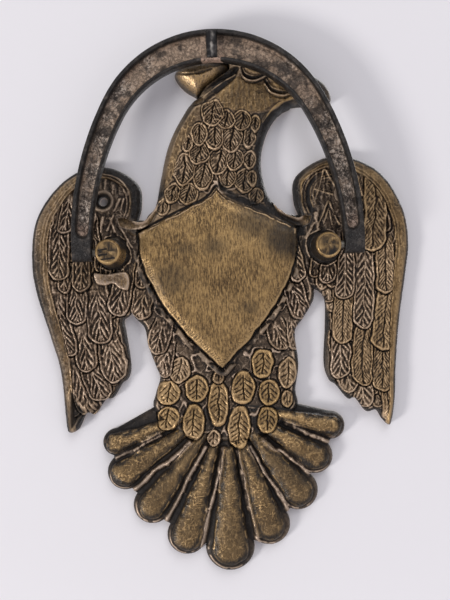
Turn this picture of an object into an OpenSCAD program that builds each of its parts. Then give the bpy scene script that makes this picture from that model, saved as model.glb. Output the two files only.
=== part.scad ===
// Eagle door knocker: a cast plate with a swinging bail on two pivot posts.
// +Z is up and -Y faces the visitor. The back of the plate lies on the door, at y = 0.
// The origin is on the door, midway between the posts at the height of the pivot pins.

/* [Plate] */
// Depth of the wings under their feathers
wing_t = 6.5; // [6:0.5:7]
// Depth of the webs that join the wings to the neck
web_t = 4; // [3:0.5:5]
// Depth of the body round the shield
body_t = 8; // [7:0.5:8.5]
// Depth of the neck
neck_t = 9.5; // [8:0.5:10]
// Depth of the head, which the raised bail rests against
head_t = 10.4; // [9:0.2:10.4]
// Depth of the shield at the top of its dome
shield_t = 11.5; // [10:0.5:11.5]
// How far the shield falls from its middle to its corners
shield_fall = 2.5; // [2:0.5:3]
// Depth of the crown of a tail feather
tail_t = 8.6; // [8:0.1:8.8]
// How much higher than their ground the wing and body feathers stand
feather_rise = 1.2; // [0.8:0.1:1.4]

/* [Bail] */
// Height of the top of the bail above the pins
bail_top = 107; // [106.6:0.2:107.2]
// Width of the band at the top
bail_band = 15.8; // [15:0.2:17]
// Thickness of the bail, front to back
bail_t = 8.5; // [8:0.5:8.5]
// Depth of the hollow in the bail
hollow_depth = 4; // [3:0.5:5]
// Angle that the raised bail leans back against the head
rest_lean = 3; // [2.8:0.1:3]
// Width of the striker bar
striker_w = 5; // [4:0.5:6]
// How far the striker bar stands out of the hollow
striker_proud = 1.4; // [1:0.1:1.5]

/* [Pivot] */
// Distance of each post from the middle
post_x = 52.7; // [52.5:0.1:52.9]
// Distance of the pins from the door
pin_depth = 20; // [20:0.5:21]
// Length of a post from the door to its face
post_reach = 26; // [25:0.5:27]
// Radius of a post at its foot
post_foot_r = 7; // [6.5:0.1:7]
// Radius of a post at its face
post_face_r = 5.9; // [5.5:0.1:6]
// Radius of a pin
pin_r = 2; // [1.5:0.25:2]
// Radial clearance of a pin in the bail
pin_clear = 0.05; // [0.03:0.01:0.08]

/* [Fixings] */
// Radius of the door screw holes
screw_r = 2.3; // [2:0.1:2.5]
// Radius of their countersinks
screw_head_r = 3.8; // [3.5:0.1:4.2]
// Height of the screw holes above the pins
screw_z = 26.5; // [24:0.5:28]
// Radius of a post's threaded tail
tail_stud_r = 2.5; // [2:0.25:2.5]
// Radius of a washer
washer_r = 5.5; // [5:0.25:6]
// Thickness of a washer
washer_t = 1; // [0.8:0.2:1.2]
// Width of a nut across its flats
nut_flats = 8; // [7.5:0.5:8.5]
// Thickness of a nut
nut_t = 2.8; // [2.4:0.2:3]

/* [Hidden] */
$fn = 64;
LEFT = -1;
RIGHT = 1;
eps = 0.02;
// How far a cut runs past the face it opens
over = 1;

// Screw holes: the left one is nearer the middle, as the wings are not alike.
screw_x = [-57, 64];
screw_sink = 2;

// Posts: the shoulder stands on a boss, and the recess behind it takes a washer and a nut.
boss_t = 9;
boss_r = 8.5;
recess_r = 7.5;
recess_depth = 4.5;
stud_hole_r = tail_stud_r + 0.1;
stud_end = 0.4;
stud_chamfer = 0.3;
post_foot_h = 1;
post_rim = 0.8;
post_flare = 0.2;
post_dome = 0.1;
pin_hole_depth = 10;
pin_end_gap = 0.3;

// Bail edges: a top arc that runs into a long, nearly straight leg arc on each side.
outer_r = 60;
inner_r = 50.4;
outer_leg_r = 150;
inner_leg_r = 137.6;
leg_turn = 28;
outer_z = bail_top - outer_r;
inner_z = bail_top - bail_band - inner_r;
bail_steps = 26;

// Across the band, as shares of a width and of half the thickness: a rim (of its own width) and the rounded
// back (of the band's width)
rim_w = 2;
rim_round = [[0, 0.75], [0.15, 1], [0.75, 1]];
rim_foot = 0.8;
back_round = [[0, 0.25], [0.06, 0.65], [0.2, 0.9]];
// Along a leg, as shares of its length: the solid end, and the slope from the hollow up to it
solid_end = 0.038;
hollow_ramp = 0.05;

// The striker bar stands in a slot in the floor of the hollow, and its face is rounded.
slot_depth = 0.5;
striker_face_r = 3.4;
striker_top_gap = 0.4;
striker_low = bail_top - bail_band - 1;

// Outlines, in the XZ plane
left_wing = [
    [-53, 43.5], [-68, 42.5], [-81, 33.5], [-91, 18.5], [-94, 0], [-92.5, -17], [-86, -40], [-81.3, -58],
    [-79.6, -80], [-78.5, -88.5], [-73.5, -87.5], [-69, -79.5], [-64.5, -80], [-59.5, -73.2], [-55, -71.8],
    [-50.7, -65.2], [-47.5, -62.5], [-46, -56], [-47.8, -40], [-48.6, -33.5], [-45, -30.5], [-39, -22],
    [-36, 0], [-40, 14], [-38, 24], [-39.5, 35]
];
right_wing = [
    [54.5, 45], [69, 44.3], [83.5, 35.5], [93, 19], [95.5, 2], [93.5, -14], [89.5, -38], [87.2, -60],
    [86, -78], [83.5, -89.8], [79.8, -87.5], [76.5, -82.6], [71.5, -83], [66.2, -76.2], [62.5, -76.4],
    [56.8, -69.3], [53.5, -66.6], [51.2, -58], [52.4, -40], [52.6, -26.5], [49.2, -21.5], [42, -18],
    [37, 0], [41, 14], [38.6, 24], [40, 36]
];
body = [
    [-30, 18], [-38, 10], [-43, -10], [-44.5, -29], [-38.5, -37.5], [-37, -46.5], [-33, -58], [-31.5, -63],
    [-34, -71], [-34.5, -79], [-20, -92], [0, -96], [22, -92], [36.5, -80], [36.3, -71], [38.3, -58],
    [37, -42], [41.5, -35], [47.5, -23], [43, -5], [40, 8], [32, 16], [0, 24]
];
neck = [
    [-36, 15], [-31, 23], [-28, 36], [-24, 52], [-17.5, 65.5], [-7.5, 77.5], [12, 84], [36, 80], [39, 71.4],
    [32.7, 67.6], [27, 60], [23.3, 49], [23, 38], [26, 26.5], [32.5, 18.5], [40, 14], [30, -10], [-30, -10]
];
head = [
    [-8, 77], [-13.5, 80.5], [-18, 85.5], [-18.8, 90], [-12, 94], [0, 96.5], [14, 97], [27, 94.5], [38, 89.5],
    [49, 86.3], [56, 81.5], [59, 74.5], [55.5, 71], [46, 71.3], [37, 70.5], [30, 66], [12, 64], [-4, 72]
];
shield_mid_z = -14;
shield_top = [[0, 31.2], [5.5, 25.5], [13, 22], [26, 16.2], [39.6, 9.7]];
shield_side = [[39.6, 9.7], [38.6, -2], [35.6, -12], [27.5, -27.5], [20.3, -37], [10.7, -48], [0, -58.8]];
web = [[-52, 18], [-36.4, 16.5], [-28, 22], [-28, 4], [-52, 4]];

// Tail feathers: the middle of each rounded tip and its radius. All of them fan out from one place.
tail_root = [2, -76];
tail_tips = [
    [-54.5, -94.5, 6.8], [-50.5, -109.5, 9], [-37.5, -126.5, 9.5], [-20.5, -142, 10], [1, -148.5, 12.3],
    [21, -138, 10.5], [36, -121.5, 10], [45, -104.5, 9], [53.5, -89.5, 7]
];
tail_fill_t = 5.5;
tail_fill = [
    [0, -70], [-34, -77], [-57, -89], [-56, -103], [-46.5, -119], [-31, -135], [-13.5, -147], [15.5, -146],
    [31, -131.5], [42.5, -113], [53, -97], [55, -83], [36, -78]
];
tail_ground = 7;
lobe_start = 4;
crown_start = 16;
lobe_step = 1.4;
side_share = 0.96;

// Feathers drawn on the plate: the middle of each, its length, width and the direction of its tip.
wing_feathers = [
    [-80, 5, 43, 9, 260], [-71, -33, 17, 9, 268], [-59, -37, 24, 9, 262], [-76, -48, 16, 9, 275],
    [-66, -54, 22, 9, 268], [-54, -61, 16, 10, 250], [-60, -68, 16, 9, 255], [-70, -72, 24, 9, 262],
    [81, 14, 34, 11, 275], [85, -11, 22, 9, 272], [84, -35, 24, 9, 268], [82, -60, 18, 10, 268],
    [73, -12, 18, 10, 270], [74, -31, 18, 9, 268], [72, -51, 24, 8, 270], [63, -17, 14, 9, 262],
    [61, -37, 22, 9, 268], [61, -56, 16, 9, 268]
];
body_feathers = [
    [-21, -62, 12, 10, 262], [-10, -70, 12, 11, 270], [0, -78, 19, 10, 270], [-25, -72, 12, 10, 255],
    [-26, -85, 12, 10, 240], [-13, -87, 16, 11, 255], [12, -70, 16, 10, 275], [22, -61, 10, 9, 280],
    [26, -72, 12, 10, 285], [34, -64, 13, 8, 285], [10, -91, 18, 10, 278], [26, -85, 13, 11, 295],
    [-39, -27, 14, 10, 250], [-28, -49, 19, 11, 240], [-19, -60, 10, 8, 245],
    [39, -26, 17, 9, 290], [30, -42, 18, 9, 300], [23, -57, 14, 8, 300], [36, -58, 19, 8, 275]
];

function on_curve(a, b, c, d, t) =
    (2 * b + (c - a) * t + (2 * a - 5 * b + 4 * c - d) * t * t + (3 * b - a - 3 * c + d) * t * t * t) / 2;

// A closed curve through points, with n steps between each two
function closed_curve(p, n = 4) =
    [for (i = [0:len(p) - 1], j = [0:n - 1])
        on_curve(p[(i + len(p) - 1) % len(p)], p[i], p[(i + 1) % len(p)], p[(i + 2) % len(p)], j / n)];

// An open curve through points, without its last point
function open_curve(p, n = 4) =
    [for (i = [0:len(p) - 2], j = [0:n - 1])
        on_curve(p[max(i - 1, 0)], p[i], p[i + 1], p[min(i + 2, len(p) - 1)], j / n)];

function mirrored(p) = [for (i = [len(p) - 1:-1:1]) [-p[i][0], p[i][1]]];

// Raises an outline drawn in the XZ plane from the door to a depth
module relief(depth) {
    rotate([90, 0, 0]) linear_extrude(depth) children();
}

// A round hole or shaft along Y from one depth to another
module along_y(x, z, from, to, r1, r2) {
    translate([x, -from, z]) rotate([90, 0, 0]) cylinder(h = to - from, r1 = r1, r2 = r2);
}

module shield_outline() {
    half = concat(open_curve(shield_top), open_curve(shield_side), [shield_side[len(shield_side) - 1]]);
    polygon(concat(half, mirrored([for (i = [0:len(half) - 2]) half[i]])));
}

module shield() {
    corner = norm(shield_side[0] - [0, shield_mid_z]);
    dome_r = (corner * corner + shield_fall * shield_fall) / (2 * shield_fall);
    intersection() {
        relief(shield_t + eps) shield_outline();
        translate([0, dome_r - shield_t, shield_mid_z]) sphere(r = dome_r, $fn = 128);
    }
}

// A leaf: what two equal circles share
module leaf(length, width) {
    r = (length * length + width * width) / (4 * width);
    intersection() {
        translate([0, r - width / 2]) circle(r = r);
        translate([0, width / 2 - r]) circle(r = r);
    }
}

module feathers(list, depth) {
    relief(depth) for (f = list) translate([f[0], f[1]]) rotate(f[4]) leaf(f[2], f[3]);
}

// A tapered feather from a place near the root of the tail to its rounded tip
module lobe_outline(tip, start, inset) {
    along = ([tip[0], tip[1]] - tail_root) / norm([tip[0], tip[1]] - tail_root);
    across = [-along[1], along[0]];
    middle = [tip[0], tip[1]];
    r = tip[2] - inset;
    side_w = r * side_share;
    root = tail_root + along * start;
    root_w = side_w * start / norm(middle - tail_root);
    polygon([
        root - across * root_w, root + across * root_w, middle + across * side_w, middle - across * side_w
    ]);
    translate(middle) circle(r = r);
}

// One tail feather: its ground and a narrower crown on top
module tail_lobe(tip) {
    relief(tail_ground) lobe_outline(tip, lobe_start, 0);
    relief(tail_t) lobe_outline(tip, crown_start, lobe_step);
}

module screw_hole(x) {
    along_y(x, screw_z, -over, wing_t - screw_sink, screw_r, screw_r);
    along_y(x, screw_z, wing_t - screw_sink - eps, wing_t + eps, screw_r, screw_head_r);
    along_y(x, screw_z, wing_t, body_t + over, screw_head_r, screw_head_r);
}

module post_seat(side) {
    along_y(side * post_x, 0, -over, recess_depth, recess_r, recess_r);
    along_y(side * post_x, 0, recess_depth - eps, boss_t + over, stud_hole_r, stud_hole_r);
}

module eagle_plate() {
    color("#8c7748") difference() {
        union() {
            relief(wing_t) polygon(closed_curve(left_wing));
            relief(wing_t) polygon(closed_curve(right_wing));
            relief(body_t) polygon(closed_curve(body, 3));
            relief(neck_t) polygon(closed_curve(neck, 3));
            relief(head_t) polygon(closed_curve(head, 3));
            relief(web_t) polygon(web);
            relief(web_t) mirror([1, 0]) polygon(web);
            relief(tail_fill_t) polygon(tail_fill);
            for (tip = tail_tips) tail_lobe(tip);
            shield();
            feathers(wing_feathers, wing_t + feather_rise);
            feathers(body_feathers, body_t + feather_rise / 2);
            for (side = [LEFT, RIGHT]) along_y(side * post_x, 0, 0, boss_t, boss_r, boss_r);
        }
        for (x = screw_x) screw_hole(x);
        for (side = [LEFT, RIGHT]) post_seat(side);
    }
}

// The bail stands upright on the pins here, and the raised pose leans it back against the head.
module bail_frame() {
    translate([0, -pin_depth, 0]) rotate([-rest_lean, 0, 0]) children();
}

// Middle of the leg arc, which meets the top arc where both head the same way
function leg_middle(r, z, leg_r) = [-(leg_r - r) * cos(leg_turn), z - (leg_r - r) * sin(leg_turn)];

// The point a share u of the way from the top of an edge to its end at the height of the pins
function edge_point(u, r, z, leg_r) =
    let (m = leg_middle(r, z, leg_r),
         last = asin(-m[1] / leg_r),
         top_run = r * (90 - leg_turn),
         leg_run = leg_r * (leg_turn - last),
         run = u * (top_run + leg_run))
    run < top_run
        ? [r * sin(run / r), z + r * cos(run / r)]
        : [m[0] + leg_r * cos(leg_turn - (run - top_run) / leg_r),
           m[1] + leg_r * sin(leg_turn - (run - top_run) / leg_r)];

arm_in = edge_point(1, inner_r, inner_z, inner_leg_r)[0];
arm_out = edge_point(1, outer_r, outer_z, outer_leg_r)[0];

// Depth of the hollow a share u of the way down a leg
function hollow_at(u) = hollow_depth * min(1, max(0, (1 - solid_end - u) / hollow_ramp));

function flipped(p, w) = [for (i = [len(p) - 1:-1:0]) [w - p[i][0], p[i][1]]];

// The bail's outline across its band: distance from the inner edge and from the middle of its thickness
function bail_section(w, hollow) =
    let (h = bail_t / 2,
         front = concat([for (s = rim_round) [s[0] * rim_w, -s[1] * h]],
                        [[rim_w, hollow * rim_foot - h], [2 * rim_w, hollow - h]]),
         back = concat([for (s = back_round) [s[0] * w, s[1] * h]], [[w / 2, h]]))
    concat(front, flipped(front, w), [for (s = back) [w - s[0], s[1]]],
           [for (i = [len(back) - 2:-1:0]) back[i]]);

function bail_ring(k) =
    let (u = abs(k) / bail_steps,
         side = k < 0 ? LEFT : RIGHT,
         inner = edge_point(u, inner_r, inner_z, inner_leg_r),
         outer = edge_point(u, outer_r, outer_z, outer_leg_r),
         w = norm(outer - inner))
    [for (s = bail_section(w, hollow_at(u)))
        let (at = inner + (outer - inner) * s[0] / w) [side * at[0], s[1], at[1]]];

module bail_band() {
    rings = [for (k = [-bail_steps:bail_steps]) bail_ring(k)];
    n = len(rings[0]);
    last = len(rings) - 1;
    polyhedron(
        points = [for (ring = rings) each ring],
        faces = concat(
            [[for (j = [n - 1:-1:0]) j]],
            [for (i = [0:last - 1], j = [0:n - 1], half = [0, 1])
                let (a = i * n + j, b = i * n + (j + 1) % n)
                half == 0 ? [a, b, b + n] : [a, b + n, a + n]],
            [[for (j = [0:n - 1]) last * n + j]]
        )
    );
}

module bail_eye(side) {
    translate([side < 0 ? -arm_out : arm_in, 0, 0]) rotate([0, 90, 0])
        cylinder(h = arm_out - arm_in, r = bail_t / 2);
}

module bail_bore() {
    translate([-arm_out - over, 0, 0]) rotate([0, 90, 0])
        cylinder(h = 2 * (arm_out + over), r = pin_r + pin_clear);
}

// The bar's block, which is also what the slot takes out of the bail when it is grown at the front and ends
module striker_block(grow = 0) {
    face = bail_t / 2 + striker_proud + grow;
    foot = slot_depth + hollow_depth - bail_t / 2;
    translate([-striker_w / 2, -face, striker_low - grow])
        cube([striker_w, face + foot, bail_top - striker_low + 2 * grow]);
}

module bail() {
    color("#6d5c4c") bail_frame() difference() {
        union() {
            bail_band();
            bail_eye(LEFT);
            bail_eye(RIGHT);
        }
        bail_bore();
        striker_block(over);
    }
}

module striker_bar() {
    color("#4d4a48") bail_frame() intersection() {
        striker_block();
        translate([0, striker_face_r - bail_t / 2 - striker_proud, 0])
            cylinder(h = bail_top - striker_top_gap, r = striker_face_r);
    }
}

// Half outline of a post: threaded tail, shoulder, taper, rounded rim and slightly domed face
module post_profile() {
    polygon([
        [0, stud_end], [tail_stud_r - stud_chamfer, stud_end], [tail_stud_r, stud_end + stud_chamfer],
        [tail_stud_r, boss_t], [post_foot_r, boss_t], [post_foot_r, boss_t + post_foot_h],
        [post_face_r + post_flare, post_reach - 2 * post_rim], [post_face_r, post_reach - post_rim],
        [post_face_r - post_rim * 0.4, post_reach - post_rim * 0.35],
        [post_face_r - post_rim, post_reach - post_dome], [0, post_reach]
    ]);
}

module pivot_post(side) {
    color("#a2864a") difference() {
        translate([side * post_x, 0, 0]) rotate([90, 0, 0]) rotate_extrude() post_profile();
        pin_shaft(side, pin_r, 0);
    }
}

// A pin's cylinder from inside the post out to the outer face of the arm
module pin_shaft(side, r, shorten) {
    from = post_x + post_face_r - pin_hole_depth;
    length = arm_out - from - shorten;
    translate([side < 0 ? -from - length : from, -pin_depth, 0]) rotate([0, 90, 0])
        cylinder(h = length, r = r);
}

module pivot_pin(side) {
    color("#77736c") pin_shaft(side, pin_r, pin_end_gap);
}

module post_washer(side) {
    color("#96958f") difference() {
        along_y(side * post_x, 0, recess_depth - washer_t, recess_depth, washer_r, washer_r);
        along_y(side * post_x, 0, 0, recess_depth + over, stud_hole_r, stud_hole_r);
    }
}

module post_nut(side) {
    top = recess_depth - washer_t;
    corner_r = nut_flats / 2 / cos(30);
    color("#8f8d86") difference() {
        translate([side * post_x, nut_t - top, 0]) rotate([90, 0, 0])
            cylinder(h = nut_t, r = corner_r, $fn = 6);
        along_y(side * post_x, 0, -over, recess_depth, tail_stud_r, tail_stud_r);
    }
}

eagle_plate();
bail();
striker_bar();
pivot_post(LEFT);  // left_pivot_post
pivot_post(RIGHT);  // right_pivot_post
pivot_pin(LEFT);  // left_pivot_pin
pivot_pin(RIGHT);  // right_pivot_pin
post_washer(LEFT);  // left_post_washer
post_washer(RIGHT);  // right_post_washer
post_nut(LEFT);  // left_post_nut
post_nut(RIGHT);  // right_post_nut
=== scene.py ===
import math

import bmesh
import bpy
import numpy as np
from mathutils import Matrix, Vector, geometry


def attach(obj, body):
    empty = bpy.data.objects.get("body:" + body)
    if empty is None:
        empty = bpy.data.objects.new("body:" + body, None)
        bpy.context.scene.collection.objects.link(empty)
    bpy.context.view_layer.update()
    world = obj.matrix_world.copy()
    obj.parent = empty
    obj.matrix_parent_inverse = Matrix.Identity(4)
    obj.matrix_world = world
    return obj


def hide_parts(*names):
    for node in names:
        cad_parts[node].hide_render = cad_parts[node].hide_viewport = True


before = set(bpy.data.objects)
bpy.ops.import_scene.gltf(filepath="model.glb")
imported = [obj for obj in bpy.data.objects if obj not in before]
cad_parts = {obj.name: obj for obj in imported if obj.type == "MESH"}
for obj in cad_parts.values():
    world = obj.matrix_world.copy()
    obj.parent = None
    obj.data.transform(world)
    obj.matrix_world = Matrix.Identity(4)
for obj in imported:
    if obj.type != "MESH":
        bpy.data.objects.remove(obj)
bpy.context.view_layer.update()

MM = 0.001
RNG = np.random.default_rng(11)

# Camera: straight ahead of a point on the plate, rolled a little
CAMERA_AT = (2.4, -24.8)      # mm, X and Z of the optical axis
CAMERA_BACK = 422             # mm in front of the door
CAMERA_ROLL = 1.9             # degrees
LENS = 50                     # mm
CLIP_NEAR, CLIP_FAR = 0.01, 20                                # m

# Stage and lights, in m
WALL_HALF, WALL_TOP, WALL_GAP = 0.42, 0.34, 0.0006
FLOOR_HALF, FLOOR_LEVEL = 1.6, -0.19
STAGE_COLOUR = (0.80, 0.785, 0.815, 1)
LIGHTS_AIM = Vector((0, -0.01, -0.03))

# Fine grid over the plate's front, in mm
STEP = 0.34
GRID_X = np.arange(-96.4, 97.7, STEP)
GRID_Z = np.arange(-162.4, 98.5, STEP)
X, Z = np.meshgrid(GRID_X, GRID_Z)

# Sizes shared with the CAD parts, in mm
POST_X, PIN_DEPTH, PIN_R = 52.7, 20, 2
SCREWS = [(-57, 26.5), (64, 26.5)]
SCREW_R, SCREW_HEAD_R = 2.3, 3.8
BOSS_R, BOSS_T = 8.5, 9
RECESS_R, RECESS_DEPTH, RECESS_SIDES = 7.5, 4.5, 64

# How far the parts of the front stand from the door, in mm
RIM_T = 1.7
WING_TOP, BODY_TOP, NECK_TOP, HEAD_TOP, BEAK_TOP, THROAT_TOP = 6.3, 6.6, 8.8, 9.2, 11, 9.1
LOBE_TOP, PILLOW_LOW, PILLOW_RISE = 5.6, 5.0, 3.4
DOME_TOP, DOME_DROP, DOME_REACH, DOME_Z = 11.5, 2.5, 46.2, -14


# ---------- camera, stage and lights ----------

def make_camera():
    """The photo's camera."""
    data = bpy.data.cameras.new("camera")
    data.lens = LENS
    data.clip_start, data.clip_end = CLIP_NEAR, CLIP_FAR
    camera = bpy.data.objects.new("camera", data)
    bpy.context.collection.objects.link(camera)
    camera.location = (CAMERA_AT[0] * MM, -CAMERA_BACK * MM, CAMERA_AT[1] * MM)
    camera.rotation_euler = (math.pi / 2, math.radians(CAMERA_ROLL), 0)
    bpy.context.scene.camera = camera


def stage_plane(name, corners, material):
    mesh = bpy.data.meshes.new(name)
    mesh.from_pydata(corners, [], [(0, 1, 2, 3)])
    mesh.materials.append(material)
    plane = bpy.data.objects.new(name, mesh)
    bpy.context.collection.objects.link(plane)
    return plane


def stage_paint(name, open_behind):
    """Matt paint. The wall is open from behind, so that the back of the plate can be seen."""
    material = bpy.data.materials.new(name)
    material.use_nodes = True
    nodes, links = material.node_tree.nodes, material.node_tree.links
    shader = nodes["Principled BSDF"]
    shader.inputs["Base Color"].default_value = STAGE_COLOUR
    shader.inputs["Roughness"].default_value = 0.9
    shader.inputs["Specular IOR Level"].default_value = 0.1
    if open_behind:
        side = nodes.new("ShaderNodeNewGeometry")
        clear = nodes.new("ShaderNodeBsdfTransparent")
        mix = nodes.new("ShaderNodeMixShader")
        links.new(side.outputs["Backfacing"], mix.inputs[0])
        links.new(shader.outputs[0], mix.inputs[1])
        links.new(clear.outputs[0], mix.inputs[2])
        links.new(mix.outputs[0], nodes["Material Output"].inputs["Surface"])
    return material


def make_stage():
    """A pale wall just behind the plate, and a pale floor below it."""
    square = ((-1, -1), (1, -1), (1, 1), (-1, 1))
    corners = [(WALL_HALF * x, WALL_GAP, WALL_TOP if z > 0 else FLOOR_LEVEL) for x, z in square]
    wall = stage_plane("wall", corners, stage_paint("wall_paint", True))
    wall.visible_shadow = wall.visible_diffuse = wall.visible_glossy = False
    corners = [(FLOOR_HALF * x, FLOOR_HALF * y, FLOOR_LEVEL) for x, y in square]
    floor = stage_plane("floor", corners, stage_paint("floor_paint", False))
    floor.visible_shadow = False


def area_light(name, place, size, power, colour=(1, 1, 1)):
    """A round soft light, aimed at the plate. place and size are in m, power in W."""
    data = bpy.data.lights.new(name, "AREA")
    data.shape, data.size = "DISK", size
    data.energy, data.color = power, colour
    lamp = bpy.data.objects.new(name, data)
    bpy.context.collection.objects.link(lamp)
    lamp.location = place
    lamp.rotation_euler = (LIGHTS_AIM - Vector(place)).to_track_quat("-Z", "Y").to_euler()


def make_lights():
    bpy.context.scene.view_settings.view_transform = "Standard"
    world = bpy.data.worlds.new("studio")
    bpy.context.scene.world = world
    world.use_nodes = True
    background = world.node_tree.nodes["Background"]
    background.inputs["Color"].default_value = (0.92, 0.90, 0.93, 1)
    background.inputs["Strength"].default_value = 0.51
    area_light("key", (-1.9, -1.35, -0.95), 0.55, 31, (1.0, 0.98, 0.95))
    area_light("top", (0.4, -1.7, 1.5), 1.6, 16, (0.98, 0.99, 1.0))
    area_light("back_fill", (0.5, 0.9, 0.6), 0.9, 7)


# ---------- fields over the plate ----------

def curve(points, steps=6, closed=True):
    """A Catmull-Rom curve through points, as an array."""
    p = np.array(points, float)
    n = len(p)
    last = n if closed else n - 1
    out = []
    for i in range(last):
        a, b, c, d = (p[(i + k) % n] if closed else p[min(max(i + k, 0), n - 1)] for k in (-1, 0, 1, 2))
        for t in np.arange(steps) / steps:
            out.append((2 * b + (c - a) * t + (2 * a - 5 * b + 4 * c - d) * t ** 2
                        + (3 * b - a - 3 * c + d) * t ** 3) / 2)
    if not closed:
        out.append(p[-1])
    return np.array(out)


def window(x0, z0, x1, z1, margin=2):
    """Slices of the grid that cover a rectangle."""
    j0 = max(int((x0 - margin - GRID_X[0]) / STEP), 0)
    j1 = max(int((x1 + margin - GRID_X[0]) / STEP) + 2, 0)
    i0 = max(int((z0 - margin - GRID_Z[0]) / STEP), 0)
    i1 = max(int((z1 + margin - GRID_Z[0]) / STEP) + 2, 0)
    return slice(i0, i1), slice(j0, j1)


def around(points, margin):
    """Slices of the grid that cover some points."""
    low, high = points.min(0), points.max(0)
    return window(*low, *high, margin)


def near_line(points, area, closed=False):
    """Distance in mm to a line over an area, and the share of the line's length at its nearest place."""
    x, z = X[area], Z[area]
    ends = np.roll(points, -1, 0) if closed else points[1:]
    starts = points if closed else points[:-1]
    lengths = np.hypot(*(ends - starts).T)
    passed = np.concatenate([[0], np.cumsum(lengths)])
    best = np.full(x.shape, 1e9)
    share = np.zeros(x.shape)
    for i, (a, b) in enumerate(zip(starts, ends)):
        if lengths[i] < 1e-6:
            continue
        d = (b - a) / lengths[i]
        along = np.clip((x - a[0]) * d[0] + (z - a[1]) * d[1], 0, lengths[i])
        gap = (x - a[0] - along * d[0]) ** 2 + (z - a[1] - along * d[1]) ** 2
        nearer = gap < best
        best = np.where(nearer, gap, best)
        share = np.where(nearer, passed[i] + along, share)
    return np.sqrt(best), share / passed[-1]


def within(x, z, starts, ends):
    """Whether each place lies inside closed loops of edges."""
    odd = np.zeros(x.shape, bool)
    for a, b in zip(starts, ends):
        if a[1] != b[1]:
            odd ^= ((a[1] > z) != (b[1] > z)) & (x < a[0] + (z - a[1]) * (b[0] - a[0]) / (b[1] - a[1]))
    return odd


def depth_in(points, area):
    """Distance in mm inside a closed outline, negative outside it."""
    gap, _ = near_line(points, area, True)
    return np.where(within(X[area], Z[area], points, np.roll(points, -1, 0)), gap, -gap)


def patch(points, margin=1):
    """The area round a closed outline, and the depth inside the outline there."""
    points = np.array(points, float)
    area = around(points, margin)
    return area, depth_in(points, area)


def blur(field, sigma, step=STEP):
    """Gaussian blur with a radius in mm, or one across and one up."""
    across, up = sigma if isinstance(sigma, tuple) else (sigma, sigma)
    fz = np.fft.fftfreq(field.shape[0], step)[:, None]
    fx = np.fft.rfftfreq(field.shape[1], step)[None, :]
    fade = np.exp(-2 * math.pi ** 2 * ((up * fz) ** 2 + (across * fx) ** 2))
    return np.fft.irfft2(np.fft.rfft2(field) * fade, s=field.shape)


def noise_field(sigma, shape=X.shape, step=STEP):
    """Smooth noise with a spread of 1."""
    field = blur(RNG.standard_normal(shape), sigma, step)
    return field / field.std()


def cell_noise(shape, sigma):
    """Smooth noise on the grid of a small mesh, sigma in cells."""
    return noise_field(sigma, shape, 1)


def step01(t):
    """A smooth step from 0 to 1."""
    t = np.clip(t, 0, 1)
    return t * t * (3 - 2 * t)


def bump(d, half):
    """A rounded ridge across a distance."""
    return step01(1 - np.abs(d) / half)


def quarter(t):
    """A quarter-round rise from 0 to 1."""
    t = np.clip(t, 0, 1)
    return np.sqrt(1 - (1 - t) ** 2)


WOBBLE_X, WOBBLE_Z = (noise_field(1.7) * 0.26 + noise_field(0.8) * 0.1 for _ in range(2))
GRAIN = noise_field(0.5)
ROUGH = noise_field(1.1)
CLOUD = noise_field(7)
CURL = noise_field(0.8)
LEANING = noise_field(5)
TOOL = np.where(LEANING > 0, noise_field((0.45, 1.7)), noise_field((1.7, 0.45)))
STREAK = noise_field((0.45, 1.6))
SCRATCH = noise_field((0.3, 0.7))
NET = noise_field(1.7)

height = np.zeros_like(X)      # mm in front of the door
ground = np.zeros_like(X)      # the same, smoothed, from before the feathers are laid
gold = np.full_like(X, 0.3)    # 0 tan, 1 gold
soot = np.zeros_like(X)        # 1 charcoal: soot in the hollows, and painted shade
shine = np.zeros_like(X)       # 1 smooth and polished, which also brings a painted sheen and glints
free = np.ones_like(X)         # 0 on the wings' plain bands, where no feather lies


def lay(area, mask, **values):
    """Lays values over the fields where mask is 1."""
    fields = {"height": height, "gold": gold, "soot": soot, "shine": shine}
    for name, value in values.items():
        field = fields[name]
        field[area] = field[area] * (1 - mask) + value * mask


def cover(d):
    """Mask of a shape from the distance inside it, soft over one grid step."""
    return np.clip(d / STEP + 0.5, 0, 1)


def mass(outline, top, edge, tint, edge_soot):
    """A block of metal with a rounded edge, which joins what is there. Returns its area and depths."""
    area, d = patch(curve(outline))
    rise = RIM_T + (top - RIM_T) * quarter(d / edge)
    wins = cover(d) * step01((rise - height[area]) / 0.6 + 0.5)
    lay(area, cover(d) * (rise > height[area]), height=rise)
    lay(area, wins, gold=tint, soot=edge_soot * (1 - step01((d / edge - 0.55) / 0.45)))
    return area, d


def stroke(points, width, rise, steps=5, **tints):
    """A raised or sunk line."""
    line = curve(points, steps, False)
    area = around(line, width)
    d = np.abs(near_line(line, area)[0] + WOBBLE_X[area] * 0.5)
    mask = bump(d, width)
    height[area] += rise * mask * (height[area] > 0)
    lay(area, mask, **tints)


# ---------- outlines ----------

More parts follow.
